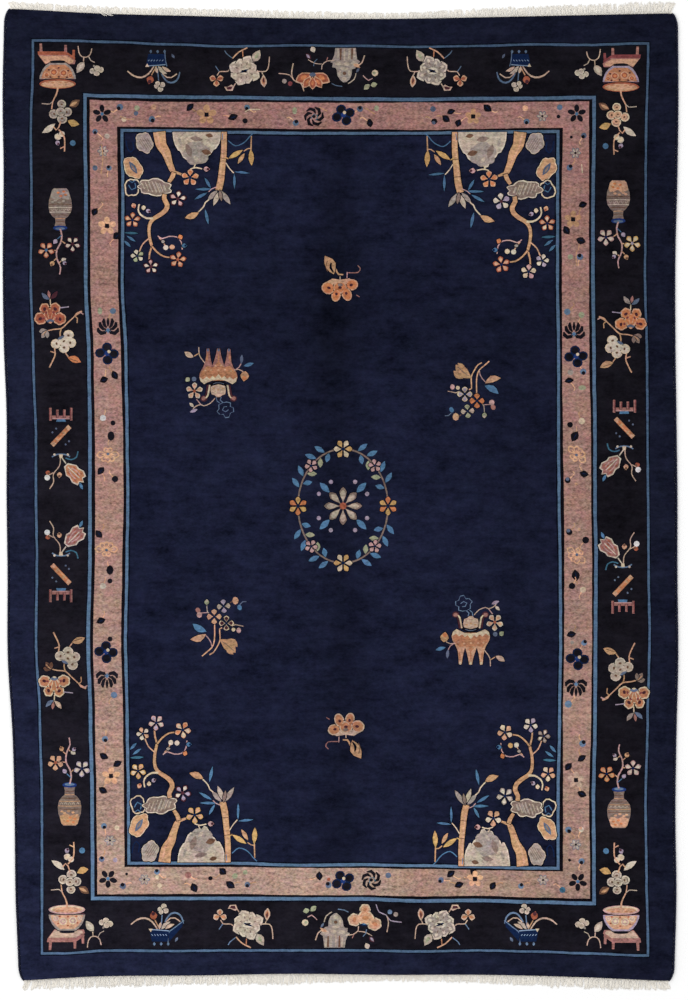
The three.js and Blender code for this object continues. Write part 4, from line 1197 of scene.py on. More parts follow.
bandDots = [
    (153.4, 107.0, 3.0, "apricot", None), (152, 119.2, 3.4, "azure", "ink"),
    (247.1, 107.4, 3.0, "azure", "ink"),
    (245.1, 120.8, 2.8, "ink", None), (295.7, 122.8, 3.2, "azure", "ink"), (359.9, 109, 3.2, "slate", "ink"),
    (432.9, 109, 3.0, "slate", None), (434.2, 121.5, 3.2, "ink", "slate"), (525.2, 108.2, 3.0, "fawn", None),
    (526.6, 121.5, 3.0, "azure", "ink"), (559.7, 107.4, 3.0, "azure", None), (558.4, 116.5, 2.0, "ink", None),
    (120, 107, 3.4, "azure", "ink"), (124, 119.4, 2.6, "cream", None), (137, 108, 2.8, "sage", None),
    (136, 113.4, 2.4, "slate", None), (95, 131.5, 2.8, "azure", "ink"),
    (107, 136, 2.8, "stone", None), (95, 168, 2.8, "slate", None), (109, 168, 2.8, "azure", "ink"),
    (113, 311, 3.2, "azure", None), (103, 418, 3.2, "white", None), (103, 586, 3.2, "ivory", None),
    (114, 695, 3.4, "azure", None), (105, 739, 3.2, "azure", "ink"), (104, 826, 3.0, "azure", "ink"),
    (117, 828, 2.6, "cream", None), (101.7, 859, 3.0, "slate", "ink"), (115.2, 860, 2.4, "lilac", None),
    (122.9, 886, 3.3, "slate", "ink"), (562.5, 889.9, 3.2, "teal", None), (571.2, 137.2, 1.6, "ink", None),
    (583.9, 135.6, 3.0, "slate", "ink"), (569.6, 167.5, 3.2, "azure", "ink"),
    (580, 256.8, 3.4, "azure", "ink"),
    (570.4, 256.8, 2.8, "sage", None), (567.2, 311.8, 3.4, "azure", None), (581.5, 315, 3.2, "sage", None),
    (583.1, 371.6, 3.3, "azure", "ink"), (570.4, 372.4, 3.0, "grey", None), (581.7, 421, 3.4, "cream", None),
    (570, 424.7, 3.0, "ink", None), (567.7, 480.3, 3.1, "ink", "slate"), (576, 484, 1.6, "apricot", None),
    (569.2, 532, 3.3, "ink", "slate"), (579, 529.3, 1.6, "apricot", None), (585.7, 540, 3.6, "ink", None),
    (572, 586, 3.4, "ink", None), (583, 589.8, 3.2, "cream", None), (584, 642.9, 3.0, "azure", "ink"),
    (572, 642.4, 2.0, "grey", None), (568.3, 704.2, 3.7, "azure", None), (582.4, 743.5, 3.5, "azure", "ink"),
    (568.3, 829.8, 3.4, "azure", "ink"), (581.2, 829.3, 2.8, "ivory", "apricot"),
    (569.5, 860.1, 1.6, "ink", None),
    (581.6, 861.3, 3.2, "azure", "ink"), (111, 436, 4.2, "ink", None), (110, 570, 4.2, "ink", None),
    (115, 479, 3.4, "ink", None), (113, 423, 2.6, "ink", None), (110, 581, 2.6, "ink", None),
    (110, 639, 2.6, "ink", None), (157, 871.8, 3.0, "azure", "ink"), (157, 877, 2.2, "cream", None),
    (159.6, 885.6, 2.4, "cream", None), (188.2, 874.9, 3.4, "dusty", None), (210.4, 878.3, 2.3, "ink", None),
    (235, 876, 3.0, "sage", None), (245.3, 872.3, 2.4, "sage", None), (247.3, 884.6, 3.0, "slate", "ink"),
    (328.8, 879.2, 1.8, "rust", None), (328.5, 885, 3.3, "slate", "ink"), (388.2, 875.4, 3.0, "slate", None),
    (126.6, 873.9, 1.5, "ink", None), (441, 880, 3.0, "slate", "ink"), (521, 886, 3.0, "azure", "ink"),
]  # place, radius, yarn, yarn of a cap


def quietBlossom(px, py, r, yarn, heart="ink"):
    s = seenAt(px, py)
    for k in range(5):
        a = 2 * math.pi * k / 5 + 0.3
        disc(s, 0.62 * r * math.cos(a), 0.62 * r * math.sin(a), 0.42 * r, 0.34 * r, yarn, a, 8)
    shape(s, [(-2.1, -2.1), (2.1, -2.1), (2.1, 2.1), (-2.1, 2.1)], heart)


def paleBlossom(px, py):
    s = seenAt(px, py)
    for width, reach, yarn in ((3.4, 5.8, "slate"), (2.2, 5.2, "stone")):
        for k in range(6):
            a = 2 * math.pi * k / 6
            leaf(s, 0, 0, reach * math.cos(a), reach * math.sin(a), width, yarn, full=0.65)
    dot(s, 0, 0, 1.2, "ink")


def fanFlower(s):
    # Drooping dark petals under two arched ones
    for sign in (-1, 1):
        stem(s, [(0.8 * sign, 2.4, 1.4), (2.8 * sign, 5.4, 3.4), (6.6 * sign, 6.2, 4.2),
                 (9.6 * sign, 3.8, 3.8),
                 (10.2 * sign, 0.8, 1.8)], "ink")
        stem(s, [(1.6 * sign, 2.4, 1.4), (4.8 * sign, 1.9, 3.2), (7.6 * sign, -1.2, 3.9),
                 (8.2 * sign, -5.0, 2.6)], "ink")
        stem(s, [(1.4 * sign, 0.8, 1.8), (3.4 * sign, -1.8, 3.4), (4.4 * sign, -5.6, 3.7),
                 (4.0 * sign, -8.6, 1.8)], "ink")
    stem(s, [(0, -0.6, 1.6), (0, -4.0, 3.0), (0, -9.0, 1.6)], "ink")
    leaf(s, 0, 0.4, 0, 6.6, 1.8, "azure")
    for x in (-2.4, 2.4):
        leaf(s, 0, 0.6, x, 4.8, 1.2, "mist")


def wheelFlower(s):
    # Dark crescents turned round a small heart
    for k in range(6):
        a = math.pi * k / 3
        path = []
        for t, reach in ((0.0, 3.4), (0.5, 6.6), (1.0, 8.8), (1.5, 9.4)):
            path.append((reach * math.cos(a + t), reach * math.sin(a + t), 3.4 if 0 < t < 1.5 else 1.4))
        stem(s, path, "ink")
    stem(s, [(-3, -2), (0, 2.6), (3.4, 1.0), (2.6, -3.4)], "teal", 1.1)
    dot(s, 0, 0, 1.8, "ink")


def fourRound(s, inner="royal"):
    for x, y in ((0, 6.2), (-6.8, 0.6), (6.8, -0.4), (0.6, -6.4)):
        disc(s, x, y, 5.2, 4.9, "deep", sides=10)
        disc(s, x, y, 3.9, 3.7, "ink", sides=8)
    disc(s, 0, 0, 2.6, 2.6, inner, sides=7)
    dot(s, 1.9, 1.9, 1.7, "cream")


def openFlower(s):
    # Open petals drawn in a pale line
    petals = [(186, 12.0, 7.6), (-6, 12.0, 7.6), (230, 9.6, 7.0), (-50, 9.6, 7.0), (270, 9.0, 6.0),
              (116, 7.4, 5.6),
              (64, 7.4, 5.6)]
    for degrees, long, wide in petals:
        c = math.cos(math.radians(degrees))
        n = math.sin(math.radians(degrees))
        leaf(s, 0.6 * c, 0.6 * n, long * c, long * n, wide, "fawn", full=0.62)
        leaf(s, 2.4 * c, 2.4 * n, (long - 1.7) * c, (long - 1.7) * n, wide - 2.6, "rose", full=0.62)
        leaf(s, 2.0 * c, 2.0 * n, 0.6 * long * c, 0.6 * long * n, 1.4, "fawn")
    dot(s, 0, 0, 1.5, "slate")


def tendril(px, py, long):
    # A pale wisp along the band, from a leaf or a berry towards the band's middle
    s = seenAt(px, py)
    way = hand.choice((-1, 1)) * long
    upright = (px < 130 or px > 550) and 128 < py < 868
    middle = (106.5 - px if px < 130 else 577.5 - px) if upright else (py - 114.5 if py < 200 else py - 881)
    bow = 0.7 * middle
    path = [(0, 0), (0.6 * bow, 0.4 * way), (bow, 0.75 * way), (0.8 * bow, way)]
    if not upright:
        path = [(y, x) for x, y in path]
    stem(s, path, hand.choice(("fawn", "fawn", "camel")), 1.2)


def roseBand():
    for px, py, turn in ((102, 114, 0), (576.7, 113.8, 0), (108, 878.6, math.pi), (577.8, 881.6, math.pi)):
        s = seenAt(px, py)
        for k in range(5):
            a = turn + math.pi / 2 + 2 * math.pi * k / 5
            disc(s, 5.6 * math.cos(a), 5.6 * math.sin(a), 3.9, 2.6, "ink", a, 10)
        dot(s, 0, 0, 1.8, "azure")
    for px, py, long, wide, degrees in bandLeaves:
        tendril(px, py, 10)
        s = seenAt(px, py, turn=math.radians(degrees))
        leaf(s, -long / 2 - 0.5, 0, long / 2 + 0.5, 0, wide + 1, "ink", 0.4)
        leaf(s, -long / 2 + 2, 0, long / 2 - 2, 0, 1.0, "deep")
    for px, py, r, yarn, cap in bandDots:
        if cap or r > 3.1:
            tendril(px, py, 9)
        s = seenAt(px, py)
        tall = 4.9 if r > 4 else r
        disc(s, 0, 0, min(r, 3.7), tall, "mist" if yarn == "azure" else yarn, sides=8)
        if cap:
            dot(s, hand.uniform(-0.4, 0.4) * r, hand.choice((-0.4, 0.4)) * r, 0.6 * r, cap)
    for px, py, r, yarn in ((206.5, 114.8, 10, "camel"), (473.2, 116.5, 8, "camel"), (107, 226, 9, "fawn"),
                            (111, 776, 9, "fawn"), (573.1, 219.3, 8.6, "camel"), (576, 780, 8.4, "sand"),
                            (475, 879, 8, "fawn")):
        quietBlossom(px, py, r, yarn)
    for px, py in ((103, 151), (575.4, 153), (542.3, 116.2), (110, 840.5), (144.3, 879.5), (575.8, 844.7),
                   (543, 880)):
        paleBlossom(px, py)
    for px, py, turn in ((108, 327, math.pi), (107, 679, 0.0), (574, 331, math.pi), (576, 687.2, 0.0)):
        fanFlower(seenAt(px, py, turn=turn))
    wheelFlower(seenAt(314.0, 116.6))
    wheelFlower(seenAt(371.3, 880, turn=0.6))
    for px, py, turn in ((343.4, 115, 0.4), (107, 353.5, 0.0), (106, 652, 0.0), (576, 356.5, 0.15),
                         (577.4, 659, 0.0), (343, 881, 0.5)):
        fourRound(seenAt(px, py, turn=turn))
    for px, py, turn in ((108, 454, 0.0), (106.5, 550, math.pi), (576.4, 455, 2.4), (576.8, 554.6, -0.7)):
        openFlower(seenAt(px, py, turn=turn))
    for px, py, x, y in ((294.6, 110.7, 4, 7), (376.5, 108.2, 4, 6), (100, 311, 4, 7), (582.2, 387.7, 7, 5)):
        disc(seenAt(px, py), 0, 0, x / 2 + 0.4, y / 2, "sage")
    stem(seenAt(102, 160), [(-1, 16), (1, 4), (-1, -14)], "camel", 1.2)
    stem(seenAt(122, 120), [(-2, 4), (4, 1), (12, 1)], "camel", 1.2)
    stem(seenAt(343, 110), [(-24, 3), (-16, -1)], "camel", 1.4)
    stem(seenAt(343, 110), [(22, 2), (32, -4)], "camel", 1.4)
    stem(seenAt(576, 258), [(1, 8), (0, 0), (1, -8)], "camel", 1.2)
    stem(seenAt(581.5, 169), [(0, 5), (1, -4)], "cream", 1.4)
    stem(seenAt(246, 114), [(-1, 2), (4, 4.6), (14, 4.6)], "cream", 1.2)


cornerGardens()
cornerBowls()
sideVases()
sidePeonies()
sideTreasures()
endBorders()
fieldSingles()
middleWreath()
roseBand()
print("design drawn", len(patches), "patches,", sum(len(p) for p, _ in patches), "points")


def rimLoop(inset, step=6.0):
    # The pile's outline in millimetres, drawn in by the given distance, counterclockwise
    hx = rugSize["halfWidth"] - inset
    hy = rugSize["halfLength"] - inset
    corners = [(-hx, -hy), (hx, -hy), (hx, hy), (-hx, hy)]
    points = []
    for (x1, y1), (x2, y2) in zip(corners, corners[1:] + corners[:1]):
        length = 2 * (rugSize["halfWidth"] if y1 == y2 else rugSize["halfLength"])
        count = round(length / step)
        stops = [k / count for k in range(count)]
        near = [1.5 / length, 3.5 / length]
        stops = sorted(set(stops + near + [1 - n for n in near]))
        for t in stops:
            x = x1 + (x2 - x1) * t
            y = y1 + (y2 - y1) * t
            points.append(placed(*cornerDrawn(x, y)))
    return points


def linear(value):
    value = value / 255
    return value / 12.92 if value <= 0.04045 else ((value + 0.055) / 1.055) ** 2.4


lighting = {"sky": 0.98, "lamp": 70.0, "woolLevel": 0.9}
pile = {"insets": [3.5, 2.6, 1.9, 0.8, 0.0], "grid": 16.0, "wallRings": [0.72, 0.4, 0.0],
        "backLeast": 60.0}


def yarnAt(name, x, y):
    # A yarn's colour at a place, in knots, with painted sheen and shade over the rug from the pile's nap
    (r, g, b), mix = yarns[name]
    up = y / 400
    across = x / 300
    # Painted shade: the yarns grow lighter towards the bottom and the left and darker towards the top and the right
    if name in darkYarns:
        tone = 0.92 - 0.085 * across - up * (0.1 - 0.055 * across)
    elif name in ("steel", "blue"):
        tone = 0.98 - 0.11 * up - 0.03 * across
    elif name in ("azure", "teal", "sky", "slate", "mist"):
        tone = 0.94 - 0.12 * up
    else:
        tone = 1 + 0.12 * min(max((-up - 0.5) / 0.4, 0), 1)
        if not (95 < abs(x) < 222 and 200 < abs(y) < 372):
            tone -= 0.07
    # Painted shade on the navy field: a darker band down the middle, one across the upper half and a darker patch on
    # the right
    if name == "navy":
        tone = 0.99 - 0.04 * up
        tone -= (0.17 + 0.1 * math.exp(-((y - 180) / 90) ** 2)) * math.exp(-((x + 2 + 6 * math.sin(y / 90)) / 22) ** 2)
        tone -= 0.1 * math.exp(-((y - 185) / 70) ** 2)
        tone -= 0.09 * math.exp(-((x - 190) / 60) ** 2) * math.exp(-(y / 260) ** 2)
    # The rose band's painted shade: darker towards the top, lighter at the bottom and most at the bottom left
    if name == "rose":
        f = min(max((y + 390) / 780, 0), 1)
        low = (177, 147, 132) if x < 60 else (165, 134, 120)
        high = (146, 108, 102)
        r, g, b = (low[i] + (high[i] - low[i]) * f ** 0.8 for i in range(3))
        tone = 1.0
    tone = max(tone, 0.5)
    level = lighting["woolLevel"]
    return linear(r * tone) * level, linear(g * tone) * level, linear(b * tone) * level, mix


def area(outline):
    return abs(sum(x1 * y2 - x2 * y1 for (x1, y1), (x2, y2) in zip(outline, outline[1:] + outline[:1]))) / 2


def faced(base, chosen):
    # Triangulates the rug's face with the chosen patches; gives points, triangles, yarns and the rim's places
    settings = pile
    points = [Vector(p) for p in base]
    faces = [list(range(len(base)))]
    for outline, _ in chosen:
        start = len(points)
        points.extend(Vector(p) for p in outline)
        faces.append(list(range(start, start + len(outline))))
    own = random.Random(5)
    for i in range(-20, 21):
        for j in range(-29, 30):
            x = (i * settings["grid"] + own.uniform(-3, 3)) * knot * 1000
            y = (j * settings["grid"] + own.uniform(-3, 3)) * knot * 1000
            if leftAt(y) + 20 < x < rightAt(y) - 20:
                points.append(Vector((x, y)) / (knot * 1000))
    flat, _, triangles, fromVerts, _, fromFaces = delaunay_2d_cdt(points, [], faces, 1, 1e-4, True)
    rim = [0] * len(base)
    for index, sources in enumerate(fromVerts):
        for source in sources:
            if source < len(base):
                rim[source] = index
    tris = []
    faceYarns = []
    for tri, sources in zip(triangles, fromFaces):
        if sources:
            tris.append(tuple(tri))
            faceYarns.append(chosen[max(sources) - 1][1] if max(sources) else "outer")
    return [(p.x * knot, p.y * knot) for p in flat], tris, faceYarns, rim


def rugPile():
    settings = pile
    loops = [rimLoop(inset) for inset in settings["insets"]]
    count = len(loops[0])
    base = [(x / knot / 1000, y / knot / 1000) for x, y in loops[0]]
    face, faceTris, faceYarns, faceRim = faced(base, patches)
    back, backTris, backYarns, backRim = faced(base,
                                               [p for p in patches if area(p[0]) > settings["backLeast"]])
    verts = [(x, y, faceHeight(x * 1000, y * 1000, rugSize["shoulder"]) / 1000) for x, y in face]
    flatAt = list(face)
    rings = [faceRim]
    for loop, inset in zip(loops[1:], settings["insets"][1:]):
        rings.append(list(range(len(verts), len(verts) + count)))
        verts.extend((x / 1000, y / 1000, faceHeight(x, y, inset) / 1000) for x, y in loop)
        flatAt.extend((x / 1000, y / 1000) for x, y in loop)
    outer = loops[-1]
    for share in settings["wallRings"]:
        rings.append(list(range(len(verts), len(verts) + count)))
        for k, (x, y) in enumerate(outer):
            tall = faceHeight(x, y, 0) / 1000
            verts.append((x / 1000, y / 1000, share * tall))
            x1, y1 = outer[k - 1]
            x2, y2 = outer[(k + 1) % count]
            reach = math.hypot(x2 - x1, y2 - y1)
            drop = (1 - share) * tall
            flatAt.append((x / 1000 + (y2 - y1) / reach * drop, y / 1000 - (x2 - x1) / reach * drop))
    under = len(verts)
    verts.extend((x, y, 0.0) for x, y in back)
    flatAt.extend(back)
    rings.append([under + index for index in backRim])
    quads = []
    for inner, outerRing in zip(rings, rings[1:]):
        for k in range(count):
            n = (k + 1) % count
            quads.append((inner[k], outerRing[k], outerRing[n], inner[n]))
    underTris = [(under + a, under + c, under + b) for a, b, c in backTris]
    mesh = bpy.data.meshes.new("rugPile")
    mesh.from_pydata(verts, [], faceTris + quads + underTris)
    colours = []
    mapped = []
    firstUnder = len(faceTris) + len(quads) - count
    allYarns = faceYarns + ["outer"] * len(quads) + backYarns
    for number, (polygon, name) in enumerate(zip(mesh.polygons, allYarns)):
        for index in polygon.vertices:
            colours.extend(yarnAt(name, verts[index][0] / knot, verts[index][1] / knot))
            if number < firstUnder:
                mapped.extend((0.25 + flatAt[index][0] * 0.232, 0.5 + flatAt[index][1] * 0.326))
            else:
                mapped.extend((0.75 - verts[index][0] * 0.232, 0.5 + verts[index][1] * 0.326))
    mesh.color_attributes.new("yarn", "FLOAT_COLOR", "CORNER").data.foreach_set("color", colours)
    mesh.uv_layers.new(name="OFBake").data.foreach_set("uv", mapped)
    mesh.polygons.foreach_set("use_smooth", [True] * len(mesh.polygons))
    mesh.update()
    print("pile", len(verts), "points,", sum(len(p.vertices) - 2 for p in mesh.polygons), "triangles,",
          len(backTris), "of them below")
    piece = bpy.data.objects.new("rugPile", mesh)
    bpy.context.scene.collection.objects.link(piece)
    return piece


class Shader:
    # A material's node tree with short calls for its nodes and links
    def __init__(self, name):
        self.material = bpy.data.materials.new(name)
        self.material.use_nodes = True
        self.tree = self.material.node_tree
        self.surface = self.tree.nodes["Principled BSDF"]

    def node(self, kind, links=None, **values):
        made = self.tree.nodes.new(kind)
        for key, value in values.items():
            setattr(made, key, value)
        for socket, source in (links or {}).items():
            if hasattr(source, "is_output"):
                self.tree.links.new(source, made.inputs[socket])
            else:
                made.inputs[socket].default_value = source
        return made

    def to(self, socket, source):
        if hasattr(source, "is_output"):
            self.tree.links.new(source, self.surface.inputs[socket])
        else:
            self.surface.inputs[socket].default_value = source

    def maths(self, operation, a, b=0.0):
        return self.node("ShaderNodeMath", {0: a, 1: b}, operation=operation).outputs[0]


def woolMaterial():
    s = Shader("pileWool")
    place = s.node("ShaderNodeTexCoord").outputs["Object"]
    yarn = s.node("ShaderNodeAttribute", attribute_name="yarn")
    mix = yarn.outputs["Alpha"]
    cell = s.node("ShaderNodeVectorMath", {0: place, 1: (333.3, 333.3, 30.0)}, operation="MULTIPLY")
    cell = s.node("ShaderNodeVectorMath", {0: cell.outputs[0]}, operation="FLOOR")
    single = s.node("ShaderNodeTexWhiteNoise", {0: cell.outputs[0]}, noise_dimensions="3D").outputs["Value"]

    def noise(scale, amount, detail=2.0, rough=0.5):
        spot = s.node("ShaderNodeVectorMath", {0: place, 1: scale}, operation="MULTIPLY").outputs[0]
        made = s.node("ShaderNodeTexNoise", {0: spot, "Scale": 1.0, "Detail": detail, "Roughness": rough})
        return s.maths("MULTIPLY", s.maths("SUBTRACT", made.outputs["Fac"], 0.5), amount)

    dark = s.maths("LESS_THAN", mix, 0.46)
    spread = s.maths("MULTIPLY", s.maths("SUBTRACT", single, 0.5), 0.42)
    spread = s.maths("ADD", spread, noise((95.0, 125.0, 1.0), 1.5, 2.0))
    spread = s.maths("ADD", spread, noise((22.0, 90.0, 1.0), 0.8, 2.0))
    spread = s.maths("MULTIPLY", spread, mix)
    lots = s.maths("ADD", noise((5.0, 70.0, 1.0), 0.5, 3.0, 0.6), noise((3.0, 4.0, 1.0), 0.5, 2.0))
    # Painted sheen: broad lighter and darker patches on the dark yarns, where the nap catches the light differently
    napSheen = s.maths("ADD", noise((9.0, 16.0, 1.0), 1.7, 4.0, 0.6), noise((34.0, 52.0, 1.0), 0.9, 2.0))
    total = s.maths("ADD", spread, s.maths("ADD", lots, s.maths("MULTIPLY", napSheen, dark)))
    total = s.maths("MAXIMUM", s.maths("ADD", total, 1.0), 0.25)
    hue = s.node("ShaderNodeVectorMath", {0: place, 1: (110.0, 130.0, 1.0)}, operation="MULTIPLY").outputs[0]
    hue = s.node("ShaderNodeTexNoise", {0: hue, "Scale": 1.0, "Detail": 2.0}).outputs["Color"]
    hue = s.node("ShaderNodeVectorMath", {0: hue, 1: (-0.5, -0.5, -0.5)}, operation="ADD").outputs[0]
    hue = s.node("ShaderNodeVectorMath", {0: hue, "Scale": s.maths("MULTIPLY", mix, 0.3)}, operation="SCALE")
    hue = s.node("ShaderNodeVectorMath", {0: hue.outputs[0], 1: (1.0, 1.0, 1.0)}, operation="ADD").outputs[0]
    broadHue = s.node("ShaderNodeTexNoise", {0: place, "Scale": 26.0, "Detail": 3.0}).outputs["Color"]
    broadHue = s.node("ShaderNodeVectorMath", {0: broadHue, 1: (-0.5, -0.5, -0.5)},
                      operation="ADD").outputs[0]
    broadHue = s.node("ShaderNodeVectorMath", {0: broadHue, "Scale": s.maths("MULTIPLY", mix, 0.3)},
                      operation="SCALE").outputs[0]
    hue = s.node("ShaderNodeVectorMath", {0: hue, 1: broadHue}, operation="ADD").outputs[0]
    parts = s.node("ShaderNodeSeparateXYZ", {0: place})
    below = s.maths("LESS_THAN", parts.outputs[2], 0.0008)
    rib = s.maths("SINE", s.maths("MULTIPLY", parts.outputs[1], 2 * math.pi / knot))
    total = s.maths("ADD", total, s.maths("MULTIPLY", s.maths("MULTIPLY", rib, 0.22), below))
    shaded = s.node("ShaderNodeVectorMath", {0: yarn.outputs["Color"], "Scale": total}, operation="SCALE")
    shaded = s.node("ShaderNodeVectorMath", {0: shaded.outputs[0], 1: hue}, operation="MULTIPLY")
    s.to("Base Color", shaded.outputs[0])
    s.to("Roughness", 0.95)
    s.to("Specular IOR Level", 0.0)
    tuft = s.node("ShaderNodeTexNoise",
                  {0: place, "Scale": 420.0, "Detail": 3.0, "Roughness": 0.7}).outputs["Fac"]
    cells = s.node("ShaderNodeTexVoronoi", {0: place, "Scale": 340.0}).outputs["Distance"]
    height = s.maths("ADD", tuft, s.maths("MULTIPLY", cells, -0.8))
    bump = s.node("ShaderNodeBump", {"Height": height, "Strength": 0.5, "Distance": 0.0012})
    s.to("Normal", bump.outputs[0])
    return s.material


def plainYarnMaterial(name, colour, spread, grain):
    s = Shader(name)
    place = s.node("ShaderNodeTexCoord").outputs["Object"]
    noise = s.node("ShaderNodeTexNoise", {0: place, "Scale": grain, "Detail": 3.0}).outputs["Fac"]
    broad = s.node("ShaderNodeTexNoise", {0: place, "Scale": 9.0, "Detail": 2.0}).outputs["Fac"]
    total = s.maths("MULTIPLY", s.maths("SUBTRACT", noise, 0.5), spread)
    total = s.maths("ADD", total, s.maths("MULTIPLY", s.maths("SUBTRACT", broad, 0.5), spread))
    total = s.maths("ADD", total, 1.0)
    shaded = s.node("ShaderNodeVectorMath", {0: tuple(linear(v) for v in colour), "Scale": total},
                    operation="SCALE")
    s.to("Base Color", shaded.outputs[0])
    s.to("Roughness", 0.9)
    s.to("Specular IOR Level", 0.2)
    return s.material


class Tree:
    # A geometry node tree with named inputs
    def __init__(self, name, sockets):
        self.tree = bpy.data.node_groups.new(name, "GeometryNodeTree")
        face = self.tree.interface
        face.new_socket("Geometry", in_out="INPUT", socket_type="NodeSocketGeometry")
        for label, kind in sockets:
            face.new_socket(label, in_out="INPUT", socket_type="NodeSocket" + kind)
        face.new_socket("Geometry", in_out="OUTPUT", socket_type="NodeSocketGeometry")
        self.given = self.tree.nodes.new("NodeGroupInput")
        self.result = self.tree.nodes.new("NodeGroupOutput")

    def ask(self, label):
        return self.given.outputs[label]

    def node(self, kind, links=None, **values):
        made = self.tree.nodes.new(kind)
        for key, value in values.items():
            setattr(made, key, value)
        for socket, source in (links or {}).items():
            if hasattr(source, "is_output"):
                self.tree.links.new(source, made.inputs[socket])
            else:
                made.inputs[socket].default_value = source
        return made

    def maths(self, operation, a, b=0.0):
        return self.node("ShaderNodeMath", {0: a, 1: b}, operation=operation).outputs[0]

    def named(self, label, kind="FLOAT"):
        return self.node("GeometryNodeInputNamedAttribute", {"Name": label},
                         data_type=kind).outputs["Attribute"]

    def finish(self, geometry):
        real = self.node("GeometryNodeRealizeInstances", {0: geometry}).outputs[0]
        smooth = self.node("GeometryNodeSetShadeSmooth", {0: real}).outputs[0]
        coated = self.node("GeometryNodeSetMaterial",
                           {0: smooth, "Material": self.ask("Material")}).outputs[0]
        self.tree.links.new(coated, self.result.inputs[0])
        return self.tree


def grown(name, verts, edges, marks, tree, values):
    # The plain mesh that a node tree grows from marked points
    seedMesh = bpy.data.meshes.new(name + "Seed")
    seedMesh.from_pydata(verts, edges, [])
    for label, numbers in marks.items():
        seedMesh.attributes.new(label, "FLOAT", "POINT").data.foreach_set("value", numbers)
    seed = bpy.data.objects.new(name + "Seed", seedMesh)
    bpy.context.scene.collection.objects.link(seed)
    modifier = seed.modifiers.new(name, "NODES")
    modifier.node_group = tree
    for item in tree.interface.items_tree:
        if item.in_out == "INPUT" and item.name in values:
            modifier[item.identifier] = values[item.name]
    bpy.context.view_layer.update()
    graph = bpy.context.evaluated_depsgraph_get()
    mesh = bpy.data.meshes.new_from_object(seed.evaluated_get(graph), depsgraph=graph)
    mesh.name = name
    bpy.data.objects.remove(seed)
    bpy.data.meshes.remove(seedMesh)
    piece = bpy.data.objects.new(name, mesh)
    bpy.context.scene.collection.objects.link(piece)
    print(name, len(mesh.vertices), "points,", sum(len(p.vertices) - 2 for p in mesh.polygons), "triangles")
    return piece


def wrapTree():
    t = Tree("overcastWraps", [("Yarn radius", "Float"), ("Half width", "Float"), ("Half height", "Float"),
                               ("Lean", "Float"), ("Seed", "Int"), ("Material", "Material")])
    circle = t.node("GeometryNodeCurvePrimitiveCircle", {"Resolution": 12, "Radius": 1.0}).outputs[0]
    scale = t.node("ShaderNodeCombineXYZ",
                   {0: t.ask("Half width"), 1: t.ask("Half height"), 2: 1.0}).outputs[0]
    ring = t.node("GeometryNodeTransform", {0: circle, "Scale": scale}).outputs[0]
    ring = t.node("GeometryNodeTransform", {0: ring, "Rotation": (math.pi / 2, 0, 0)}).outputs[0]
    profile = t.node("GeometryNodeCurvePrimitiveCircle",
                     {"Resolution": 6, "Radius": t.ask("Yarn radius")}).outputs[0]
    wrap = t.node("GeometryNodeCurveToMesh", {"Curve": ring, "Profile Curve": profile}).outputs[0]
    turn = t.node("FunctionNodeRandomValue", {"Seed": t.ask("Seed")}, data_type="FLOAT")
    turn.inputs[2].default_value = -0.06
    turn.inputs[3].default_value = 0.06
    angle = t.maths("ADD", t.maths("ADD", t.named("heading"), t.ask("Lean")), turn.outputs[1])
    rotation = t.node("ShaderNodeCombineXYZ", {2: angle}).outputs[0]
    size = t.node("ShaderNodeCombineXYZ", {0: t.named("share"), 1: 1.0, 2: t.named("share")}).outputs[0]
    placedWraps = t.node("GeometryNodeInstanceOnPoints", {"Points": t.ask("Geometry"), "Instance": wrap,
                                                          "Rotation": rotation, "Scale": size}).outputs[0]
    path = t.node("GeometryNodeMeshToCurve", {0: t.ask("Geometry")}).outputs[0]
    core = t.node("GeometryNodeCurvePrimitiveCircle", {"Resolution": 10, "Radius": 1.0}).outputs[0]
    core = t.node("GeometryNodeTransform", {0: core, "Scale": (0.0031, 0.0029, 1.0)}).outputs[0]
    path = t.node("GeometryNodeSetCurveRadius", {"Curve": path, "Radius": t.named("share")}).outputs[0]
    body = t.node("GeometryNodeCurveToMesh",
                  {"Curve": path, "Profile Curve": core, "Fill Caps": True}).outputs[0]
    both = t.node("GeometryNodeJoinGeometry")
    t.tree.links.new(placedWraps, both.inputs[0])
    t.tree.links.new(body, both.inputs[0])
    return t.finish(both.outputs[0])


wraps = {"pitch": 4.1, "yarnRadius": 0.0021, "halfWidth": 0.0019, "halfHeight": 0.0019, "lean": 0.10}


def overcastEdge(name, side, tree, material, seed):
    settings = wraps
    edgeAt = leftAt if side < 0 else rightAt
    first = placed(side * rugSize["halfWidth"], -rugSize["halfLength"])[1]
    last = placed(side * rugSize["halfWidth"], rugSize["halfLength"])[1]
    count = round((last - first) / settings["pitch"])
    own = random.Random(seed)
    verts = []
    shares = []
    headings = []
    for k in range(count + 1):
        y = first + (last - first) * k / count
        toEnd = min(y - first, last - y)
        opened = 1 - min(toEnd / rugSize["nose"], 1)
        share = rugSize["endShare"] + (1 - rugSize["endShare"]) * math.sqrt(1 - opened ** 2)
        share *= 1 + own.uniform(-0.04, 0.04)
        x = edgeAt(y) - side * (rugSize["edgeWidth"] / 2 + (1 - share) * rugSize["edgeWidth"] * 0.3)
        slope = (edgeAt(y + 4) - edgeAt(y - 4)) / 8
        verts.append((x / 1000, y / 1000, rugSize["edgeHeight"] * share / 2000))
        shares.append(share)
        headings.append(-math.atan(min(max(slope, -0.7), 0.7)))
    edges = [(k, k + 1) for k in range(count)]
    values = {"Yarn radius": settings["yarnRadius"], "Half width": settings["halfWidth"],
              "Half height": settings["halfHeight"], "Lean": settings["lean"] * side, "Seed": seed,
              "Material": material}
    return grown(name, verts, edges, {"share": shares, "heading": headings}, tree, values)


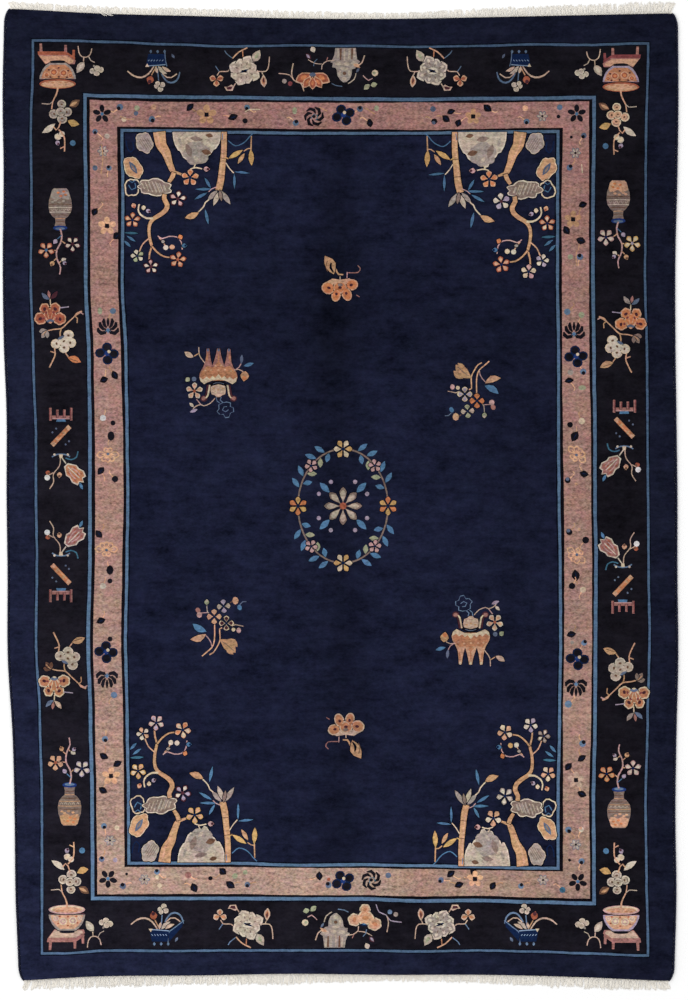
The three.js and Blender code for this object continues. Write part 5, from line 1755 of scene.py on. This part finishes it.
def strandTree():
    t = Tree("fringeStrands", [("Yarn radius", "Float"), ("Points", "Int"), ("Sway", "Float"),
                               ("Seed", "Int"), ("Material", "Material")])
    line = t.node("GeometryNodeCurvePrimitiveLine", {"Start": (0, 0, 0), "End": (0, 1, 0)}).outputs[0]
    line = t.node("GeometryNodeResampleCurve", {"Curve": line, "Count": t.ask("Points")}).outputs[0]
    size = t.node("ShaderNodeCombineXYZ", {0: 1.0, 1: t.named("reach"), 2: 1.0}).outputs[0]
    strands = t.node("GeometryNodeInstanceOnPoints", {"Points": t.ask("Geometry"), "Instance": line,
                                                      "Scale": size}).outputs[0]
    real = t.node("GeometryNodeRealizeInstances", {0: strands}).outputs[0]
    part = t.node("GeometryNodeSplineParameter").outputs["Factor"]
    place = t.node("GeometryNodeInputPosition").outputs[0]
    wander = t.node("ShaderNodeTexNoise", {"Vector": place, "W": t.named("phase"), "Scale": 90.0,
                                           "Detail": 1.0}, noise_dimensions="4D").outputs["Color"]
    wander = t.node("ShaderNodeVectorMath", {0: wander, 1: (-0.5, -0.5, -0.5)}, operation="ADD").outputs[0]
    amount = t.maths("MULTIPLY", t.ask("Sway"), part)
    wander = t.node("ShaderNodeVectorMath", {0: wander, "Scale": amount}, operation="SCALE").outputs[0]
    parts = t.node("ShaderNodeSeparateXYZ", {0: wander})
    side = t.maths("ADD", parts.outputs[0], t.maths("MULTIPLY", t.named("lean"), t.maths("POWER", part, 1.4)))
    lift = t.maths("MULTIPLY", t.named("lift"), t.maths("SINE", t.maths("MULTIPLY", part, math.pi)))
    sink = t.maths("MULTIPLY", t.named("sink"), part)
    up = t.maths("SUBTRACT", lift, sink)
    offset = t.node("ShaderNodeCombineXYZ", {0: side, 1: parts.outputs[1], 2: up}).outputs[0]
    moved = t.node("GeometryNodeSetPosition", {"Geometry": real, "Offset": offset}).outputs[0]
    thin = t.maths("SUBTRACT", 1.0, t.maths("MULTIPLY", part, 0.35))
    moved = t.node("GeometryNodeSetCurveRadius", {"Curve": moved, "Radius": thin}).outputs[0]
    profile = t.node("GeometryNodeCurvePrimitiveCircle",
                     {"Resolution": 5, "Radius": t.ask("Yarn radius")}).outputs[0]
    solid = t.node("GeometryNodeCurveToMesh",
                   {"Curve": moved, "Profile Curve": profile, "Fill Caps": True}).outputs[0]
    return t.finish(solid)


ends = {"locks": 258, "threads": 10, "yarnRadius": 0.00075, "points": 6, "sway": 0.010, "lean": 4.0,
        "inset": 4.0, "flare": 13.0}


def fringedEnd(name, outward, tree, material, seed):
    settings = ends
    own = random.Random(seed)
    endAt = topAt if outward > 0 else bottomAt
    column = 2 if outward > 0 else 4
    corner = rugSize["halfLength"] * outward
    first = placed(-rugSize["halfWidth"], corner)[0] - rugSize["webOverhang"] + settings["inset"]
    last = placed(rugSize["halfWidth"], corner)[0] + rugSize["webOverhang"] - settings["inset"]
    pitch = (last - first) / settings["locks"]
    verts = []
    marks = {"reach": [], "lean": [], "lift": [], "sink": [], "phase": []}
    for k in range(settings["locks"]):
        centre = first + (k + 0.5) * pitch + own.uniform(-0.25, 0.25) * pitch
        reach = between(endEdges, column, min(max(centre, -1008), 1008)) * own.uniform(0.86, 1.06)
        toCorner = max(1 - (centre - first) / 90, 0) - max(1 - (last - centre) / 90, 0)
        lean = own.uniform(-1, 1) * settings["lean"] - settings["flare"] * toCorner
        wide = pitch * own.uniform(0.55, 0.95)
        for _ in range(settings["threads"]):
            x = min(max(centre + own.uniform(-1, 1) * wide, first + 1), last - 1)
            start = endAt(x) + outward * (rugSize["gap"] + rugSize["webWidth"] * 0.35)
            long = max(reach * own.uniform(0.76, 1.04) - 1.5, 8)
            if abs(start) + long > rugSize["halfLength"]:
                long = rugSize["halfLength"] - abs(start)
            height = own.uniform(1.0, 2.4)
            verts.append((x / 1000, start / 1000, height / 1000))
            marks["reach"].append(outward * long / 1000)
            marks["lean"].append((lean + (centre - x) * 0.5 + own.uniform(-2.2, 2.2)) / 1000)
            marks["lift"].append(own.uniform(0.0, 0.9) / 1000)
            marks["sink"].append((height - 0.8) / 1000)
            marks["phase"].append(own.uniform(0, 60))
    for k in range(5 if outward > 0 else 0):  # loose strands that fell back over the pile
        verts.append((-0.731 + 0.0055 * k, (endAt(-720) + 9) / 1000, 0.0095))
        for mark, value in (("reach", -0.016), ("lean", 0.026), ("lift", 0.0015), ("sink", -0.004),
                            ("phase", 7.0 * k)):
            marks[mark].append(value)
    values = {"Yarn radius": settings["yarnRadius"], "Points": settings["points"], "Sway": settings["sway"],
              "Seed": seed, "Material": material}
    piece = grown(name, verts, [], marks, tree, values)
    return piece


def webStrip(outward):
    endAt = topAt if outward > 0 else bottomAt
    corner = rugSize["halfLength"] * outward
    first = placed(-rugSize["halfWidth"], corner)[0] - rugSize["webOverhang"]
    last = placed(rugSize["halfWidth"], corner)[0] + rugSize["webOverhang"]
    count = round((last - first) / 8)
    section = [(0.0, 0.0), (1.0, 0.0), (1.0, 0.7), (0.75, 1.0), (0.5, 0.8), (0.25, 1.0), (0.0, 0.7)]
    verts = []
    for k in range(count + 1):
        x = first + (last - first) * k / count
        for across, up in section:
            y = endAt(x) + outward * (rugSize["gap"] + across * rugSize["webWidth"])
            verts.append((x / 1000, y / 1000, up * rugSize["webThickness"] / 1000))
    size = len(section)
    faces = []
    for k in range(count):
        for i in range(size):
            a = k * size + i
            b = k * size + (i + 1) % size
            quad = (a, b, b + size, a + size)
            faces.append(quad if outward < 0 else quad[::-1])
    start = tuple(range(size))
    stop = tuple(count * size + i for i in range(size))
    faces.append(start[::-1] if outward < 0 else start)
    faces.append(stop if outward < 0 else stop[::-1])
    return verts, faces


def joined(piece, verts, faces):
    # Adds a strip's faces to a piece's mesh
    mesh = piece.data
    old = [tuple(v.co) for v in mesh.vertices]
    oldFaces = [tuple(p.vertices) for p in mesh.polygons]
    material = mesh.materials[0]
    both = bpy.data.meshes.new(piece.name)
    shift = len(old)
    both.from_pydata(old + verts, [], oldFaces + [tuple(i + shift for i in f) for f in faces])
    both.materials.append(material)
    smooth = [True] * len(oldFaces) + [False] * len(faces)
    both.polygons.foreach_set("use_smooth", smooth)
    piece.data = both
    bpy.data.meshes.remove(mesh)
    both.name = piece.name


pileWool = woolMaterial()
edgeWool = plainYarnMaterial("edgeWool", (27, 30, 50), 0.5, 500.0)
cotton = plainYarnMaterial("fringeCotton", (236, 231, 222), 0.2, 260.0)

pilePiece = rugPile()
pilePiece.data.materials.append(pileWool)
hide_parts("rug_body")

wrapNodes = wrapTree()
leftWraps = overcastEdge("overcastWrapsLeft", -1, wrapNodes, edgeWool, 3)
rightWraps = overcastEdge("overcastWrapsRight", 1, wrapNodes, edgeWool, 4)
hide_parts("overcast_left")
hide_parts("overcast_right")

strandNodes = strandTree()
topEnd = fringedEnd("fringeTop", 1, strandNodes, cotton, 11)
bottomEnd = fringedEnd("fringeBottom", -1, strandNodes, cotton, 29)
joined(topEnd, *webStrip(1))
joined(bottomEnd, *webStrip(-1))
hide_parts("fringe_top")
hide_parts("fringe_bottom")

rugPieces = [pilePiece, leftWraps, rightWraps, topEnd, bottomEnd]
for piece in rugPieces:
    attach(piece, "root")


def studio():
    floorMesh = bpy.data.meshes.new("studioFloor")
    floorMesh.from_pydata([(-6, -6, -0.0004), (6, -6, -0.0004), (6, 6, -0.0004), (-6, 6, -0.0004)], [],
                          [(0, 1, 2, 3)])
    floor = bpy.data.objects.new("studioFloor", floorMesh)
    bpy.context.scene.collection.objects.link(floor)
    paper = Shader("paperWhite")
    paper.to("Base Color", (0.93, 0.93, 0.93, 1))
    paper.to("Roughness", 0.9)
    paper.to("Specular IOR Level", 0.1)
    floorMesh.materials.append(paper.material)
    world = bpy.data.worlds.new("softBox")
    world.use_nodes = True
    world.node_tree.nodes["Background"].inputs["Color"].default_value = (1, 1, 1, 1)
    world.node_tree.nodes["Background"].inputs["Strength"].default_value = lighting["sky"]
    bpy.context.scene.world = world
    lampData = bpy.data.lights.new("windowLight", "AREA")
    lampData.energy = lighting["lamp"]
    lampData.shape = "RECTANGLE"
    lampData.size = 3.0
    lampData.size_y = 3.0
    lamp = bpy.data.objects.new("windowLight", lampData)
    lamp.location = (-3.2, 1.2, 4.2)
    lamp.rotation_euler = (Vector((0, 0, 0)) - lamp.location).to_track_quat("-Z", "Y").to_euler()
    bpy.context.scene.collection.objects.link(lamp)
    cameraData = bpy.data.cameras.new("aboveCamera")
    cameraData.lens = 100
    cameraData.sensor_width = 36
    cameraData.sensor_fit = "VERTICAL"
    cameraData.sensor_height = 36
    cameraData.clip_end = 60
    camera = bpy.data.objects.new("aboveCamera", cameraData)
    camera.location = (0.0105, -0.012, 8.333 + 0.012)
    bpy.context.scene.collection.objects.link(camera)
    bpy.context.scene.camera = camera
    bpy.context.scene.view_settings.view_transform = "Standard"


studio()
